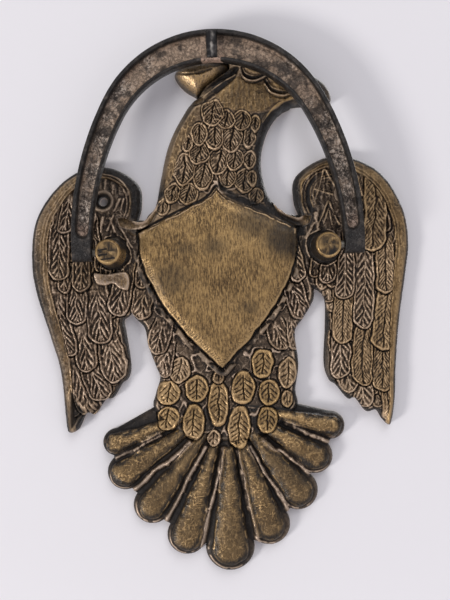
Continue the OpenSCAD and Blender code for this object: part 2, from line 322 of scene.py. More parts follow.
LEFT_EDGE = [(-40, 14), (-38, 24), (-39.5, 35), (-53, 43.5), (-68, 42.5), (-81, 33.5), (-91, 18.5),
             (-94, 0), (-92.5, -17), (-86, -40), (-81.3, -58), (-79.6, -80), (-78.5, -88.5)]
LEFT_INNER = [(-73.5, -87.5), (-69, -79.5), (-64.5, -80), (-59.5, -73.2), (-55, -71.8), (-50.7, -65.2),
              (-47.5, -62.5), (-46, -56), (-47.8, -40), (-48.6, -33.5), (-45, -30.5), (-39, -22), (-36, 0)]
RIGHT_EDGE = [(41, 14), (38.6, 24), (40, 36), (54.5, 45), (69, 44.3), (83.5, 35.5), (93, 19), (95.5, 2),
              (93.5, -14), (89.5, -38), (87.2, -60), (86, -78), (83.5, -89.8)]
RIGHT_INNER = [(79.8, -87.5), (76.5, -82.6), (71.5, -83), (66.2, -76.2), (62.5, -76.4), (56.8, -69.3),
               (53.5, -66.6), (51.2, -58), (52.4, -40), (52.6, -26.5), (49.2, -21.5), (42, -18), (37, 0)]
BODY = [(-30, 18), (-38, 10), (-43, -10), (-44.5, -29), (-38.5, -37.5), (-37, -46.5), (-33, -58),
        (-31.5, -63), (-34, -71), (-34.5, -79), (-20, -92), (0, -96), (22, -92), (36.5, -80), (36.3, -71),
        (38.3, -58), (37, -42), (41.5, -35), (47.5, -23), (43, -5), (40, 8), (32, 16), (0, 24)]
NECK = [(-36, 15), (-31, 23), (-28, 36), (-24, 52), (-17.5, 65.5), (-7.5, 77.5), (12, 84), (36, 80),
        (39, 71.4), (32.7, 67.6), (27, 60), (23.3, 49), (23, 38), (26, 26.5), (32.5, 18.5), (40, 14),
        (30, -10), (-30, -10)]
HEAD = [(-8, 77), (-13.5, 80.5), (-18, 85.5), (-18.8, 90), (-12, 94), (0, 96.5), (14, 97), (27, 94.5),
        (38, 89.5), (49, 86.3), (56, 81.5), (59, 74.5), (55.5, 71), (46, 71.3), (37, 70.5), (30, 66),
        (12, 64), (-4, 72)]
SHIELD_TOP = [(0, 31.2), (5.5, 25.5), (13, 22), (26, 16.2), (39.6, 9.7)]
SHIELD_SIDE = [(39.6, 9.7), (38.6, -2), (35.6, -12), (27.5, -27.5), (20.3, -37), (10.7, -48), (0, -58.8)]
WEB = [(-52, 18), (-36.4, 16.5), (-28, 22), (-28, 4), (-52, 4)]
TAIL_ROOT = (2, -76)
TAIL_TIPS = [(-54.5, -94.5, 6.8), (-50.5, -109.5, 9), (-37.5, -126.5, 9.5), (-20.5, -142, 10),
             (1, -148.5, 12.3), (21, -138, 10.5), (36, -121.5, 10), (45, -104.5, 9), (53.5, -89.5, 7)]
TAIL_FILL = [(0, -70), (-34, -77), (-57, -89), (-56, -103), (-46.5, -119), (-31, -135), (-13.5, -147),
             (15.5, -146), (31, -131.5), (42.5, -113), (53, -97), (55, -83), (36, -78)]


def shield_outline():
    """The shield's right half and its mirror image."""
    right = np.concatenate([curve(SHIELD_TOP, 6, False)[:-1], curve(SHIELD_SIDE, 6, False)])
    left = right[-2:0:-1] * (-1, 1)
    return np.concatenate([right, left])


def lobe_outline(tip, inset):
    """A tapered tail feather with a round tip."""
    root, middle, r = np.array(TAIL_ROOT), np.array(tip[:2]), tip[2] - inset
    reach = np.hypot(*(middle - root))
    along = (middle - root) / reach
    across = np.array([-along[1], along[0]])
    start = root + along * (4 + inset * 6)
    start_r = r * (4 + inset * 6) / reach
    turns = np.radians(np.linspace(90, -90, 19))
    arc = [middle + r * (along * math.cos(t) + across * math.sin(t)) for t in turns]
    return np.array([start + across * start_r, *arc, start - across * start_r])


# ---------- feathers ----------

# Each style: outline, barb slope (along per across), pitch, half width of a barb, its rise, rim rise, tint,
# midrib (in barb rises, negative for a groove), how far it sinks inside its rim, polish, grime
STYLES = {
    "plume": ("u", 2.1, 4.4, 0.7, 1.1, 0.6, 0.15, 1.0, 0.6, 0.0, 0.08),
    "chevron": ("u", 1.5, 3.6, 0.8, 0.95, 0.3, 0.15, 0.9, 0.6, 0.0, 0.1),
    "fine": ("u", 1.5, 1.9, 0.5, 0.55, 0.45, 0.5, -1.0, 0.45, 0.0, 0.08),
    "tree": ("u", 1.4, 2.3, 0.4, -0.55, 0.35, 0.6, -1.4, 0.1, 0.0, 0.12),
    "leaf": ("leaf", 1.0, 2.6, 0.5, -0.6, 0.5, 0.5, -1.2, 0.2, 0.0, 0.1),
    "round": ("round", 0.9, 2.8, 0.5, -0.75, 0.34, 0.8, -1.4, 0.15, 0.1, 0.14),
    "scale": ("rose", 1.3, 1.9, 0.42, 0.85, 0.5, 0.4, -1.0, 0.6, 0.0, 0.3),
    "under": ("u", 1.3, 2.0, 0.45, 0.45, 0.5, 0.3, 0.9, 0.6, 0.0, 0.35),
}


def feather_depth(shape, u, v, length, width):
    """Distance inside a feather's outline, from the places u along it and v across it."""
    half = width / 2
    if shape == "u":
        narrow = half * (1 - 0.2 * step01(-u / length * 2))
        return half - np.hypot(np.maximum(u - length / 2 + half, 0), v * half / narrow)
    if shape == "leaf":
        r = (length ** 2 + width ** 2) / (4 * width)
        return r - np.hypot(u, np.abs(v) + r - half)
    power = 2.2 if shape == "round" else 1.75
    across = (np.abs(u / (length / 2)) ** power + np.abs(v / half) ** power) ** (1 / power)
    return (1 - across) * min(length / 2, half)


def feather(x, z, length, width, lean, style, lift):
    """One overlapping feather with a rim, a midrib and barbs. lean turns its tip towards +X, in degrees."""
    shape, slope, pitch, barb_w, barb_rise, rim_rise, tint, rib, sink, polish, grime_and_shade = STYLES[style]
    phase, bend = RNG.uniform(-0.3, 0.3), RNG.uniform(-0.004, 0.004)
    pitch *= RNG.uniform(0.9, 1.15)
    turn = math.radians(lean)
    if shape == "u":
        # The base runs on under the feather above
        hidden = min(4.5, 0.3 * length)
        x, z, length = x - math.sin(turn) * hidden / 2, z + math.cos(turn) * hidden / 2, length + hidden
    reach = math.hypot(length, width) / 2
    area = window(x - reach, z - reach, x + reach, z + reach)
    px, pz = X[area] - x + WOBBLE_X[area], Z[area] - z + WOBBLE_Z[area]
    u = px * math.sin(turn) - pz * math.cos(turn)
    v = px * math.cos(turn) + pz * math.sin(turn) + bend * u * u
    d = feather_depth(shape, u, v, length, width)
    open_end = step01((u + length / 2) / 2.5) if shape == "u" else 1.0
    # A groove round the feather in what lies under it
    moat_w = 0.6 if shape == "rose" else 1.0
    moat = step01(1 + d / moat_w) * (d < 0) * open_end * free[area]
    height[area] -= 0.9 * moat_w * moat
    lay(area, moat, soot=0.7)
    along = np.clip(u / length + 0.5, 0, 1)
    camber = 1 - np.clip(np.abs(v) / (width / 2), 0, 1) ** 2
    top = ground[area] + lift * (0.1 + 0.9 * along) + (0.4 - 0.5 * sink) * camber
    top -= 0.7 * (1 - quarter(d / 0.6))
    uneven = np.clip(0.8 + 0.35 * ROUGH[area], 0.1, 1.3)
    top += rim_rise * uneven * bump(d - 0.6, 0.5) * step01(along * 5)
    if shape == "rose":
        top += 0.5 * uneven * bump(d - 1.6, 0.4)
    body = step01((d - 1.1) / 0.5)
    top -= sink * step01((d - 0.6) / 0.7)
    k = (u - slope * np.abs(v)) / pitch + phase
    line = np.abs(k - np.round(k)) * pitch / math.sqrt(1 + slope ** 2) + 0.1 * CURL[area]
    barbs = np.clip(0.9 + 0.3 * CURL[area], 0.2, 1.4) * bump(line, barb_w) * body
    barbs = barbs * step01((np.abs(v) - 0.2) / 0.5)
    centre = 1.0
    if style == "plume":
        # The barbs stand in a spear down the middle, between hatched flanks
        centre = step01((0.68 * width / 2 - np.abs(v)) / 0.8) * step01((along - 0.22) / 0.25)
        top += 0.16 * TOOL[area] * (1 - centre) * body
    top += barb_rise * barbs * centre
    top += rib * abs(barb_rise) * bump(v + 0.15 * ROUGH[area], 0.6) * body * centre
    top += 0.14 * SCRATCH[area] * (1 - polish * 3)
    lay(area, cover(d) * open_end * free[area], height=top, gold=tint + 0.1 * CLOUD[area],
        soot=grime_and_shade * body * (1 - 0.8 * centre * barbs), shine=polish)


def under_feathers(outline, lean):
    """Fills an outline with rows of small feathers, which show between the larger ones."""
    points = curve(outline)
    low, high = points.min(0), points.max(0)
    length, width, margin, lift = 10.5, 6.2, 1.2, 0.4
    rows = np.arange(low[1], high[1] + length, length * 0.52)
    for k, z in enumerate(rows):
        for x in np.arange(low[0], high[0] + width, width * 0.92) + (k % 2) * width * 0.46:
            at_x, at_z = x + RNG.uniform(-0.8, 0.8), z + RNG.uniform(-1, 1)
            spot = window(at_x, at_z, at_x, at_z, 0.5)
            if X[spot].size and depth_in(points, spot).min() > margin:
                feather(at_x, at_z, length, width, lean + RNG.uniform(-14, 14), "under", lift)


# Feathers of each style: X and Z of the middle, length, width, and lean in degrees
WING_FEATHERS = {
    "plume": [(-79.3, 6.1, 37.1, 10.3, -5), (-74.5, 21.3, 22, 7.2, -11), (-68.8, -9.5, 17.7, 9.3, -2),
              (-76.8, -13.6, 10.9, 6.8, -8), (-71.7, -25.1, 19.5, 10.9, -1), (-79.7, -32.3, 36.9, 9.6, 10),
              (-60.6, -28.7, 32.4, 12.4, 4), (-68.2, -45.8, 25.2, 11.2, 7), (-54.4, -53, 21.9, 13, 11),
              (-62.8, -64, 18.5, 13, 18), (-70.4, -65.2, 31.4, 13, 18), (-50.3, -22.7, 16.9, 10.9, -17),
              (-56.4, -9.6, 10.9, 6.2, -2), (-61.5, 8, 16, 6, 6), (54.1, -13.9, 9, 8.7, -4)],
    "tree": [(78.7, 15.9, 38, 11.8, -4), (81.5, -37.3, 30.7, 11.2, -7)],
    "fine": [(83.1, -11.8, 24.6, 9.6, 0), (80, -61, 23.7, 10.9, -4), (82.2, -78.2, 19.5, 7, 1),
             (69.9, -54.4, 30.5, 10.3, -5), (60.7, -36.9, 23.4, 10.3, -5)],
    "chevron": [(72.1, -21.3, 39.7, 10.3, -3), (69.9, -72.7, 15.6, 10.3, 3), (63, -14.8, 22.7, 9.3, -5),
                (59.1, -55.9, 19.4, 10.3, -2), (62.6, -67.4, 11.5, 10, 12)],
}
BODY_FEATHERS = {
    "plume": [(-38.9, -25, 17, 10.5, -12), (-37.5, -8, 20, 8, -8), (-31.5, -43.5, 15, 11, -20),
              (-29.5, -55, 15, 10, -14), (29.1, -44.5, 13, 11.1, 18), (38.1, -25.8, 20.5, 11, 16)],
    "leaf": [(-21.4, -59.2, 13.5, 11.3, -16), (32.2, -61.8, 16.2, 9.9, -5), (-5.1, -93.5, 8.7, 6.9, -2),
             (31.6, -74.8, 9.1, 6.4, 2), (-2, -63, 7, 6, 0)],
    "round": [(-13, -68.6, 13.4, 11.1, -3), (-2.5, -76.2, 22.8, 10.2, -2), (10.1, -68.8, 16.4, 11.3, -3),
              (22.9, -71.3, 12.7, 10.2, -5), (20.1, -57, 14.3, 10.6, -4), (-15.3, -85.4, 18, 11.1, -3),
              (7.3, -88.6, 22, 11.3, -5), (21.5, -85.2, 13.5, 9.7, -9), (-27.9, -82.8, 11.9, 10.8, -9),
              (-27.3, -70.1, 11.9, 12, -9)],
    "chevron": [(38.5, -8, 18, 8, 10), (36, -45, 12, 6, 6)],
}
NECK_FEATHERS = {
    "scale": [(-0.7, 68.4, 12.6, 10.5, -15), (5.9, 64.4, 9.5, 8.6, -12), (13.9, 63.8, 10, 9, -12),
              (-7.6, 58, 10.8, 8.4, -4), (-0.2, 56.5, 13, 9, 0), (8.2, 55.2, 13, 10, -9),
              (-7.8, 48.3, 10.8, 9.8, -11), (1.5, 44.4, 13, 9.8, -14), (9.6, 44.8, 10.5, 9, -8),
              (-15.9, 40.4, 14.8, 10.6, -8), (-6.2, 37.6, 15, 9.8, -14), (5.9, 36.4, 10.4, 8.8, -5),
              (13.9, 33.9, 11.4, 9.2, -10), (-22, 29.1, 10.2, 8, -13), (-14.1, 28.5, 9.8, 9.2, -19),
              (17.1, 55.2, 10, 6, -7), (16.8, 44.3, 10, 6, -7), (19.6, 26.4, 8, 7.4, -13),
              (-27, 22.5, 8, 7, -13), (-14, 53.2, 9, 5.5, -10), (20.5, 62, 9, 5.5, -6), (18, 35, 8, 5, -4)],
}


def paint_wing(edge_points, inner_points, slopes, bands, grime_and_shade, band_gold, ridges):
    """A wing with a smooth band along its outer edge. slopes, bands and grime follow that edge."""
    area, d = patch(curve(edge_points + inner_points))
    gap, share = near_line(curve(edge_points, 6, False), area)
    slope_w, band_w, darkening = (np.interp(share, *table) for table in (slopes, bands, grime_and_shade))
    outer = quarter(gap / slope_w)
    top = RIM_T + (WING_TOP - RIM_T) * np.minimum(outer, quarter(d / 2.6))
    across = np.clip((gap - slope_w) / np.maximum(band_w - slope_w, 1), 0, 1)
    top = top + (0.3 + 1.1 * across * (1 - across)) * step01((band_w - gap) / 0.8) * outer * (gap < band_w)
    lay(area, cover(d) * (top > height[area]), height=top)
    outer_soot = darkening * (1 - step01((gap / slope_w - 0.7) / 0.5))
    inner_soot = 0.95 * (1 - step01((d / 2.4 - 0.7) / 0.4))
    lay(area, cover(d), gold=0.15, soot=np.maximum(np.maximum(outer_soot, inner_soot), 0.4))
    height[area] += 0.2 * np.maximum(STREAK[area], -1) * cover(d - 3) * (gap > band_w)
    shade = darkening * 0.9 * (1 - step01(across / 0.65)) + 0.08 * ROUGH[area]
    shade += 0.35 * step01((STREAK[area] - 0.9) / 0.6) * step01(across / 0.3)
    shade += 0.2 * step01((share - 0.5) / 0.2) * (1 - band_gold)
    lay(area, (gap < band_w) * cover(d) * step01((gap - slope_w * 0.8) / 0.8), gold=band_gold,
        soot=np.clip(shade, 0, 0.8), shine=0.25)
    free[area] *= 1 - cover(d) * step01((band_w + 0.3 - gap) / 0.6)
    # A thin pale ridge along the inner edge
    beside = gap > band_w + 1.5
    height[area] += 0.5 * bump(d - 2.5 + 0.5 * WOBBLE_X[area], 0.6) * beside
    lay(area, bump(d - 2.5, 0.7) * beside, soot=0.1)
    for from_inner, rise, until in ridges:
        ridge = bump(gap - band_w + from_inner + 0.5 * WOBBLE_Z[area], 0.5)
        height[area] += rise * ridge * cover(d) * (share < until) * (share > 0.02)


def paint_wings():
    """Both wings: (shares of the outer edge, values there) for the slope, the band and the dirt."""
    paint_wing(LEFT_EDGE, LEFT_INNER,
               ([0, 0.11, 0.19, 0.27, 0.35, 0.44, 0.54, 0.62, 0.75, 0.84, 1],
                [5, 5.4, 5, 3, 2, 2.2, 3.4, 3.2, 2, 1.5, 1]),
               ([0, 0.11, 0.27, 0.35, 0.54, 0.75, 0.84, 1], [5.6, 6, 6.5, 8, 9, 7.2, 6.2, 4.5]),
               ([0, 0.17, 0.27, 0.45, 0.6, 1], [1, 1, 0.4, 0.45, 0.9, 1]),
               0.4, [(0.5, 0.6, 0.9), (2.2, 0.3, 0.7), (3.6, 0.2, 0.62)])
    paint_wing(RIGHT_EDGE, RIGHT_INNER,
               ([0, 0.2, 0.3, 0.6, 1], [3.4, 2.6, 1.8, 1.6, 1]),
               ([0, 0.2, 0.35, 0.55, 0.8, 1], [3.8, 5.5, 7.5, 7.5, 4.6, 3]),
               ([0, 0.2, 0.32, 0.6, 1], [1, 0.8, 0.5, 0.55, 0.55]),
               0.75, [(0.5, 0.6, 0.95), (2.0, 0.3, 0.6)])


def paint_webs():
    """The low webs beside the neck, with a smooth rounded top."""
    for side in (1, -1):
        area, d = patch([(side * x, z) for x, z in WEB])
        top = 1.2 + 2.8 * quarter(d / 3)
        lay(area, cover(d) * (top > height[area]), height=top)
        lay(area, cover(d), gold=0.2, soot=0.1 * (d < 1))


def paint_lobe(tip):
    """A tail lobe: a low dark rim, and a pillow with curly tool marks."""
    x, z, r = tip
    area, d = patch(lobe_outline(tip, 0))
    rise = RIM_T + (LOBE_TOP - RIM_T) * quarter(d / (r * 0.42))
    lay(area, cover(d) * (rise > height[area]), height=rise)
    lay(area, cover(d), gold=0.25, soot=0.85)
    # Painted highlights on the rim that faces down and to the left, towards the light
    highlight_facing = step01((-(X[area] - x) * 0.6 - (Z[area] - z)) / r + 0.1)
    rim_highlight = bump(d - 1.5 + 0.4 * WOBBLE_Z[area], 0.8) * highlight_facing * step01((ROUGH[area] + 0.9) / 0.6)
    lay(area, rim_highlight, gold=0.0, soot=0.0)
    height[area] += 0.5 * rim_highlight
    # The pillow, which fades out towards the root
    p = depth_in(lobe_outline(tip, r * 0.24), area) + 0.5 * WOBBLE_X[area] + 0.4 * WOBBLE_Z[area]
    marks = np.maximum(bump(TOOL[area], 0.28), bump(CURL[area] - 0.2, 0.24)) * step01(p / 1.5)
    marks *= 0.5 + 0.5 * step01(0.6 + 0.8 * CLOUD[area])
    top = PILLOW_LOW + PILLOW_RISE * quarter(p / (r * 0.75)) + 0.15 * CLOUD[area] + 0.34 * marks
    fade = step01((np.hypot(X[area] - TAIL_ROOT[0], Z[area] - TAIL_ROOT[1]) - 15) / 8)
    lay(area, cover(p) * fade * (top > height[area]), height=top)
    low = step01((z - Z[area]) / r + 0.2)
    bare = step01((p - 0.9 - 1.1 * low + 0.5 * ROUGH[area]) / (r * 0.3))
    darkening = 0.45 - 0.18 * (x > 40) - 0.08 * CLOUD[area]
    lay(area, step01(p / 0.8) * fade, gold=0.85, soot=0.95 * (1 - bare) + (darkening - 0.48 * marks) * bare,
        shine=0.3 + 0.9 * (1 - bare))
    lip = bump(p - 0.9, 0.5) * fade * step01(CURL[area] / 0.6)
    lay(area, lip * (1 - 0.8 * low), gold=0.6, soot=0.25)
    height[area] += 0.2 * lip


TAIL_RIDGES = [
    ((-32, -90.6), (-55, -102.6)), ((-17.9, -95.9), (-46, -119)), ((-10.5, -99), (-30.9, -135.3)),
    ((-1.1, -98.8), (-13.4, -147.5)), ((6.2, -100.4), (15.3, -146.7)), ((12.9, -98.7), (31, -132)),
    ((20, -94.6), (41.8, -113.2)), ((30.5, -87.6), (52.6, -97.6)),
]


def paint_tail():
    """The tail: a low fan, the lobes on it and the ridges between them."""
    area, d = patch(TAIL_FILL)
    lay(area, cover(d) * (height[area] < 4.5), height=1.7 + 2.8 * quarter(d / 3), gold=0.2, soot=0.85)
    for tip in TAIL_TIPS:
        paint_lobe(tip)
    # Thin wavy ridges between the lobes
    for ridge in TAIL_RIDGES:
        start, end = np.array(ridge) + RNG.uniform(-0.8, 0.8, (2, 2))
        middle = [start * (1 - t) + end * t + RNG.uniform(-0.7, 0.7, 2) for t in (0.2, 0.4, 0.6, 0.8)]
        stroke([start, *middle, end], 2.1, 1.9, gold=0.0, soot=0.25)
        stroke([start, *middle[:2]], 3.0, 0.6, gold=0.0, soot=0.35)
        for knot in middle[:3]:
            nudge = RNG.uniform(-1.6, 1.6, 2)
            hook = knot + nudge * (1.4, 0.4) + (0.6, -1.2)
            stroke([knot, knot + nudge, hook], 1.3, 0.7, gold=0.1, soot=0.1)


# X, Z, radius in mm and strength of the dark places on the shield: painted shade towards the upper right of
# the dome, away from the light, and dull patches elsewhere
SHIELD_SHADE_AND_DULL = [(33, 5, 15, 0.85), (18, 13, 13, 0.65), (-24, -13, 12, 0.5), (-2, 2, 9, 0.6),
               (-16, 1, 7, 0.4), (15, -29, 6, 0.5)]


def paint_shield():
    """A domed shield in a groove, with a ragged brown band round its lower edges."""
    area, d = patch(shield_outline(), 4)
    x, z = X[area], Z[area]
    across = np.abs(d + 2.5 + 0.5 * WOBBLE_Z[area])
    band = step01((1.6 - across) / 0.8) * step01((2 - z) / 8) * (height[area] > 4)
    band *= np.where(x < 0, step01((ROUGH[area] + 1.5) / 1.4), step01((ROUGH[area] + 0.3) / 1.2))
    lay(area, band, height=7.2 + 0.8 * quarter(1 - across / 1.7) + 0.35 * ROUGH[area], gold=0.25,
        soot=0.6 + 0.15 * CURL[area])
    moat_w = np.where(z < 6, 0.7, np.where(x > 1, 3.0, 1.0))
    moat = bump(d + moat_w * 0.75, moat_w)
    height[area] -= np.where(z < 6, 0.5, 1.1) * moat * (height[area] > 0)
    lay(area, moat, soot=0.9)
    d = d + 0.6 * WOBBLE_X[area] + 0.5 * WOBBLE_Z[area]
    top = DOME_TOP - DOME_DROP * (np.hypot(x, z - DOME_Z) / DOME_REACH) ** 2
    top = top - 1.0 * (1 - step01(d / 7)) ** 2 - 0.5 * (1 - quarter(d / 0.9))
    low_side = (z < 6) * bump(d - 2.2, 2.0) * step01((ROUGH[area] + 0.9) / 0.8)
    low_side *= bump(np.sin(2.3 * z + 1.2 * np.abs(x) + 1.5 * ROUGH[area]), 0.55)
    top -= 0.25 * low_side
    lip = (z > 7) * bump(d - 0.8, 0.6) * step01((ROUGH[area] + 1.2) / 0.8)
    top += 0.4 * lip
    # Brush marks that fan out from the top
    fan = np.arctan2(x, 33 - z)
    top -= 0.2 * bump(np.sin(fan * 46), 0.6) * step01((z - 12 - np.abs(x) * 0.2) / 9)
    # Painted shade towards the upper right, and dull patches
    shade_and_dull = np.zeros_like(d)
    for at_x, at_z, r, much in SHIELD_SHADE_AND_DULL:
        reach = np.hypot(x - at_x, (z - at_z) * 1.3) / r
        shade_and_dull = np.maximum(shade_and_dull, much * step01(1.25 - reach + 0.12 * CLOUD[area]))
    dark = 0.6 * (1 - step01(d / 0.7)) + 0.18 * bump(d - 1.2, 1.2) + 0.45 * low_side + shade_and_dull
    lay(area, cover(d), height=top, gold=0.85 - 0.5 * lip, soot=np.clip(dark - lip, 0, 0.9),
        shine=0.3 + 0.5 * step01(d / 3))


BEAK = [(-8, 77), (-13.5, 80.5), (-18, 85.5), (-18.8, 90), (-12, 94), (4, 95), (8.5, 90.5), (2, 85.6),
        (-4, 81)]
BEAK_CORNER = [(-9.5, 72), (-4, 73.5), (2, 77.5), (10.5, 84), (13, 90), (9.5, 90.5), (1, 84.4), (-8, 76.4)]
THROAT = [(11.5, 86), (5, 81), (0, 75), (1.5, 71.5), (8, 69), (16, 68), (24, 68), (30, 71), (38, 73.5),
          (46, 76.5), (38, 80), (30, 82), (22, 82)]
EYELIDS = [[(13.6, 91), (15, 85.4), (19.8, 83.4), (24.6, 84.8), (28.5, 87.2)],
           [(25.6, 81.6), (28.6, 77.2), (34.4, 75.5), (39.6, 77), (42, 78)]]


def paint_neck():
    """The neck, with dark slopes on both sides, and painted shade towards its right."""
    area, d = mass(NECK, NECK_TOP, 4.4, 0.45, 0.95)
    # Painted shade: darker towards the right of the neck, and black down its right slope, away from the
    # light
    shaded_right = step01((X[area] - 8) / 14)
    lay(area, cover(d), soot=np.maximum(soot[area], (0.2 + 0.4 * shaded_right) * cover(d)))
    slope = (X[area] > 6) * (Z[area] > 14)
    lay(area, slope * step01((4.2 - d) / 0.8) * cover(d), soot=1.0)
    lay(area, slope * bump(d - 4.6, 0.6), soot=0.15, gold=0.4)
    left_slope = (X[area] < 4) * (Z[area] > 30) * (Z[area] < 74)
    lay(area, left_slope * step01((3.4 - d + 0.5 * ROUGH[area]) / 1.2) * cover(d), soot=0.85)


def paint_head():
    """The head with its brow, throat, beak and half-hidden eyes."""
    mass(HEAD, HEAD_TOP, 3.4, 0.35, 0.9)
    brow = window(42, 68, 62, 92)
    lay(brow, step01((X[brow] - 43) / 6) * (height[brow] > 0), soot=np.maximum(soot[brow], 0.92))
    # The throat fans out below the eye, brushed smooth
    area, d = patch(curve(THROAT))
    d = d + 0.8 * WOBBLE_X[area]
    fan = np.arctan2(X[area] - 14, 104 - Z[area])
    lines = np.sin(fan * 60 + 0.7 * CURL[area]) * np.clip(0.5 + 0.5 * STREAK[area], 0, 1)
    lay(area, step01(d / 1.0), height=THROAT_TOP + 0.5 * quarter(d / 3) + 0.16 * lines, gold=0.8,
        soot=np.clip(0.34 + 0.32 * lines, 0, 0.8), shine=0.4)
    # The beak: a polished dome below the mouth, painted grey above it as a painted reflection, and painted
    # shade at its right end under the bail
    area, d = patch(curve(BEAK))
    mouth = Z[area] - 87.8 - 0.02 * (X[area] + 9) ** 2
    dark = 0.08 + 0.75 * step01(1 - d / 2.6) + 0.6 * step01(mouth / 0.8) + 0.8 * step01((X[area] + 1) / 6)
    lay(area, cover(d), height=RIM_T + (BEAK_TOP - RIM_T) * quarter(d / 8.5), gold=0.42,
        soot=np.clip(dark, 0, 0.9), shine=1.0)
    stroke([(-18.5, 88.8), (-13, 87.6), (-7, 87.8), (0, 90)], 0.9, -0.9, soot=0.9)
    stroke([(-9, 76.5), (-3, 80.8), (3, 85), (9, 87), (12, 89.5)], 1.5, -1.5, soot=0.95)
    area, d = patch(curve(BEAK_CORNER))
    inner = step01((d + 0.4) / 1.2)
    lay(area, inner, gold=0.6, soot=0.78 + 0.1 * ROUGH[area])
    height[area] -= 1.2 * inner
    stroke([(-6.2, 75.7), (-1, 79.4), (5, 83.4), (11, 86.8)], 0.6, 0.6, gold=0.3, soot=0)
    stroke([(-4.6, 74.6), (0.2, 77.8), (6, 81.8), (11, 85.2)], 0.6, -0.5, gold=0.5, soot=0.6)
    # Two half-hidden almonds under the bail, each with its lids
    for lid in np.array(EYELIDS):
        stroke(lid + (0.6, 1.6), 1.8, -0.6, gold=0.4, soot=0.85)
        stroke(lid + (2.2, 4.2), 1.6, 0.5, gold=0.8, soot=0.1)
        stroke(lid, 0.85, 1.1, gold=0.15, soot=0)
        stroke(lid + (0.9, 2.4), 0.55, 0.6, gold=0.4, soot=0.1)
        stroke(lid + (0, -1.2), 0.6, -0.5, soot=0.6)
    stroke([(24, 62.5), (29, 69), (35, 72.8), (40, 74.2)], 0.7, 0.4, gold=0.95, soot=0)


SCROLL_LEFT = [(-47.5, 15), (-44.4, 20), (-43.2, 27), (-45.3, 33.6), (-50.5, 38.2), (-57, 40)]
SCROLL_RIGHT = np.array([(44.6, 16), (42.6, 22), (43, 30), (47, 36), (53, 39.4), (60, 40)])
LEAVES_LEFT = [[(-55, 37), (-56, 31.5)], [(-51.5, 34), (-52, 28)], [(-48.4, 27), (-51.4, 21.5)],
               [(-53.5, 18), (-51.5, 11)], [(-49, 13.5), (-46, 8.5)], [(-57, 18.5), (-58.5, 11)],
               [(-52, 19), (-55, 12)], [(-61, 20), (-62.5, 12)], [(-46.5, 9), (-43, 3)], [(-48, 22),
               (-46.5, 27)]]
LEAVES_RIGHT = [[(50, 26), (52, 32), (54, 38.5), (57.5, 33), (61, 27)], [(54, 35), (53.4, 28)],
                [(49, 29), (53, 27.5), (58, 26), (61, 24.5)],
                [(49.5, 10), (52.5, 16), (55.5, 22.5), (58, 17), (60.5, 11)], [(55.5, 19), (53, 12)],
                [(56, 18), (57, 11)]]


def paint_scrolls():
    """Round ends of the wings' upper edges, with a double rim and a few short leaves."""
    stroke(SCROLL_LEFT, 0.65, 0.8, gold=0.15, soot=0)
    stroke(np.array(SCROLL_LEFT) * 0.97 + (-3.0, 0.3), 0.5, 0.5, gold=0.2, soot=0)
    for points in LEAVES_LEFT:
        stroke(points, 1.1, 1.0, gold=0.12, soot=0)
    centre = np.array([55, 28])
    stroke(SCROLL_RIGHT, 0.6, 0.7, gold=0.25, soot=0)
    stroke(centre + (SCROLL_RIGHT[:4] - centre) * 0.76, 2.4, -0.7, soot=0.9)
    for share in (0.88, 0.66, 0.54, 0.42, 0.3):
        stroke(centre + (SCROLL_RIGHT - centre) * share, 0.5, 0.4, gold=0.7, soot=0.3)
    for points in LEAVES_RIGHT:
        stroke(points, 0.75, 0.8, 3, gold=0.45, soot=0.15)
    for points in ([(49, 17), (50, 9)], [(48, 12), (44, 5)]):
        stroke(points, 1.2, 1.0, gold=0.15, soot=0)


def paint_seats():
    """Bosses under the posts, and the screw holes with their countersinks."""
    for side in (-1, 1):
        area = window(side * POST_X - 11, -11, side * POST_X + 11, 11)
        r = np.hypot(X[area] - side * POST_X, Z[area]) + 1.2 * WOBBLE_X[area]
        top = BOSS_T - 2.4 * step01((r - 7.1) / 0.9)
        # The right post's boss is painted near black, painted shade beside that post; the left one is darker
        # only close to its post
        lay(area, cover(BOSS_R - 0.5 - r), height=top, gold=0.3,
            soot=0.92 if side > 0 else 0.45 + 0.45 * step01((8.2 - r) / 0.8))
        ring = bump(r - 8.9, 0.8) * step01(1.1 + 0.9 * ROUGH[area])
        height[area] += 0.9 * ring
        lay(area, ring, gold=0.2, soot=0.0)
    for x, z in SCREWS:
        area = window(x - 7, z - 7, x + 7, z + 7)
        r = np.hypot(X[area] - x, Z[area] - z)
        lay(area, step01((6.4 - r) / 0.8), height=6.4 + 0.5 * bump(r - 4.9, 1.0), gold=0.15, soot=0.35)
        lay(area, cover(SCREW_HEAD_R + 0.4 - r), height=6.2 - 2.1 * step01((SCREW_HEAD_R + 0.4 - r) / 1.5),
            soot=0.6, gold=0.1)


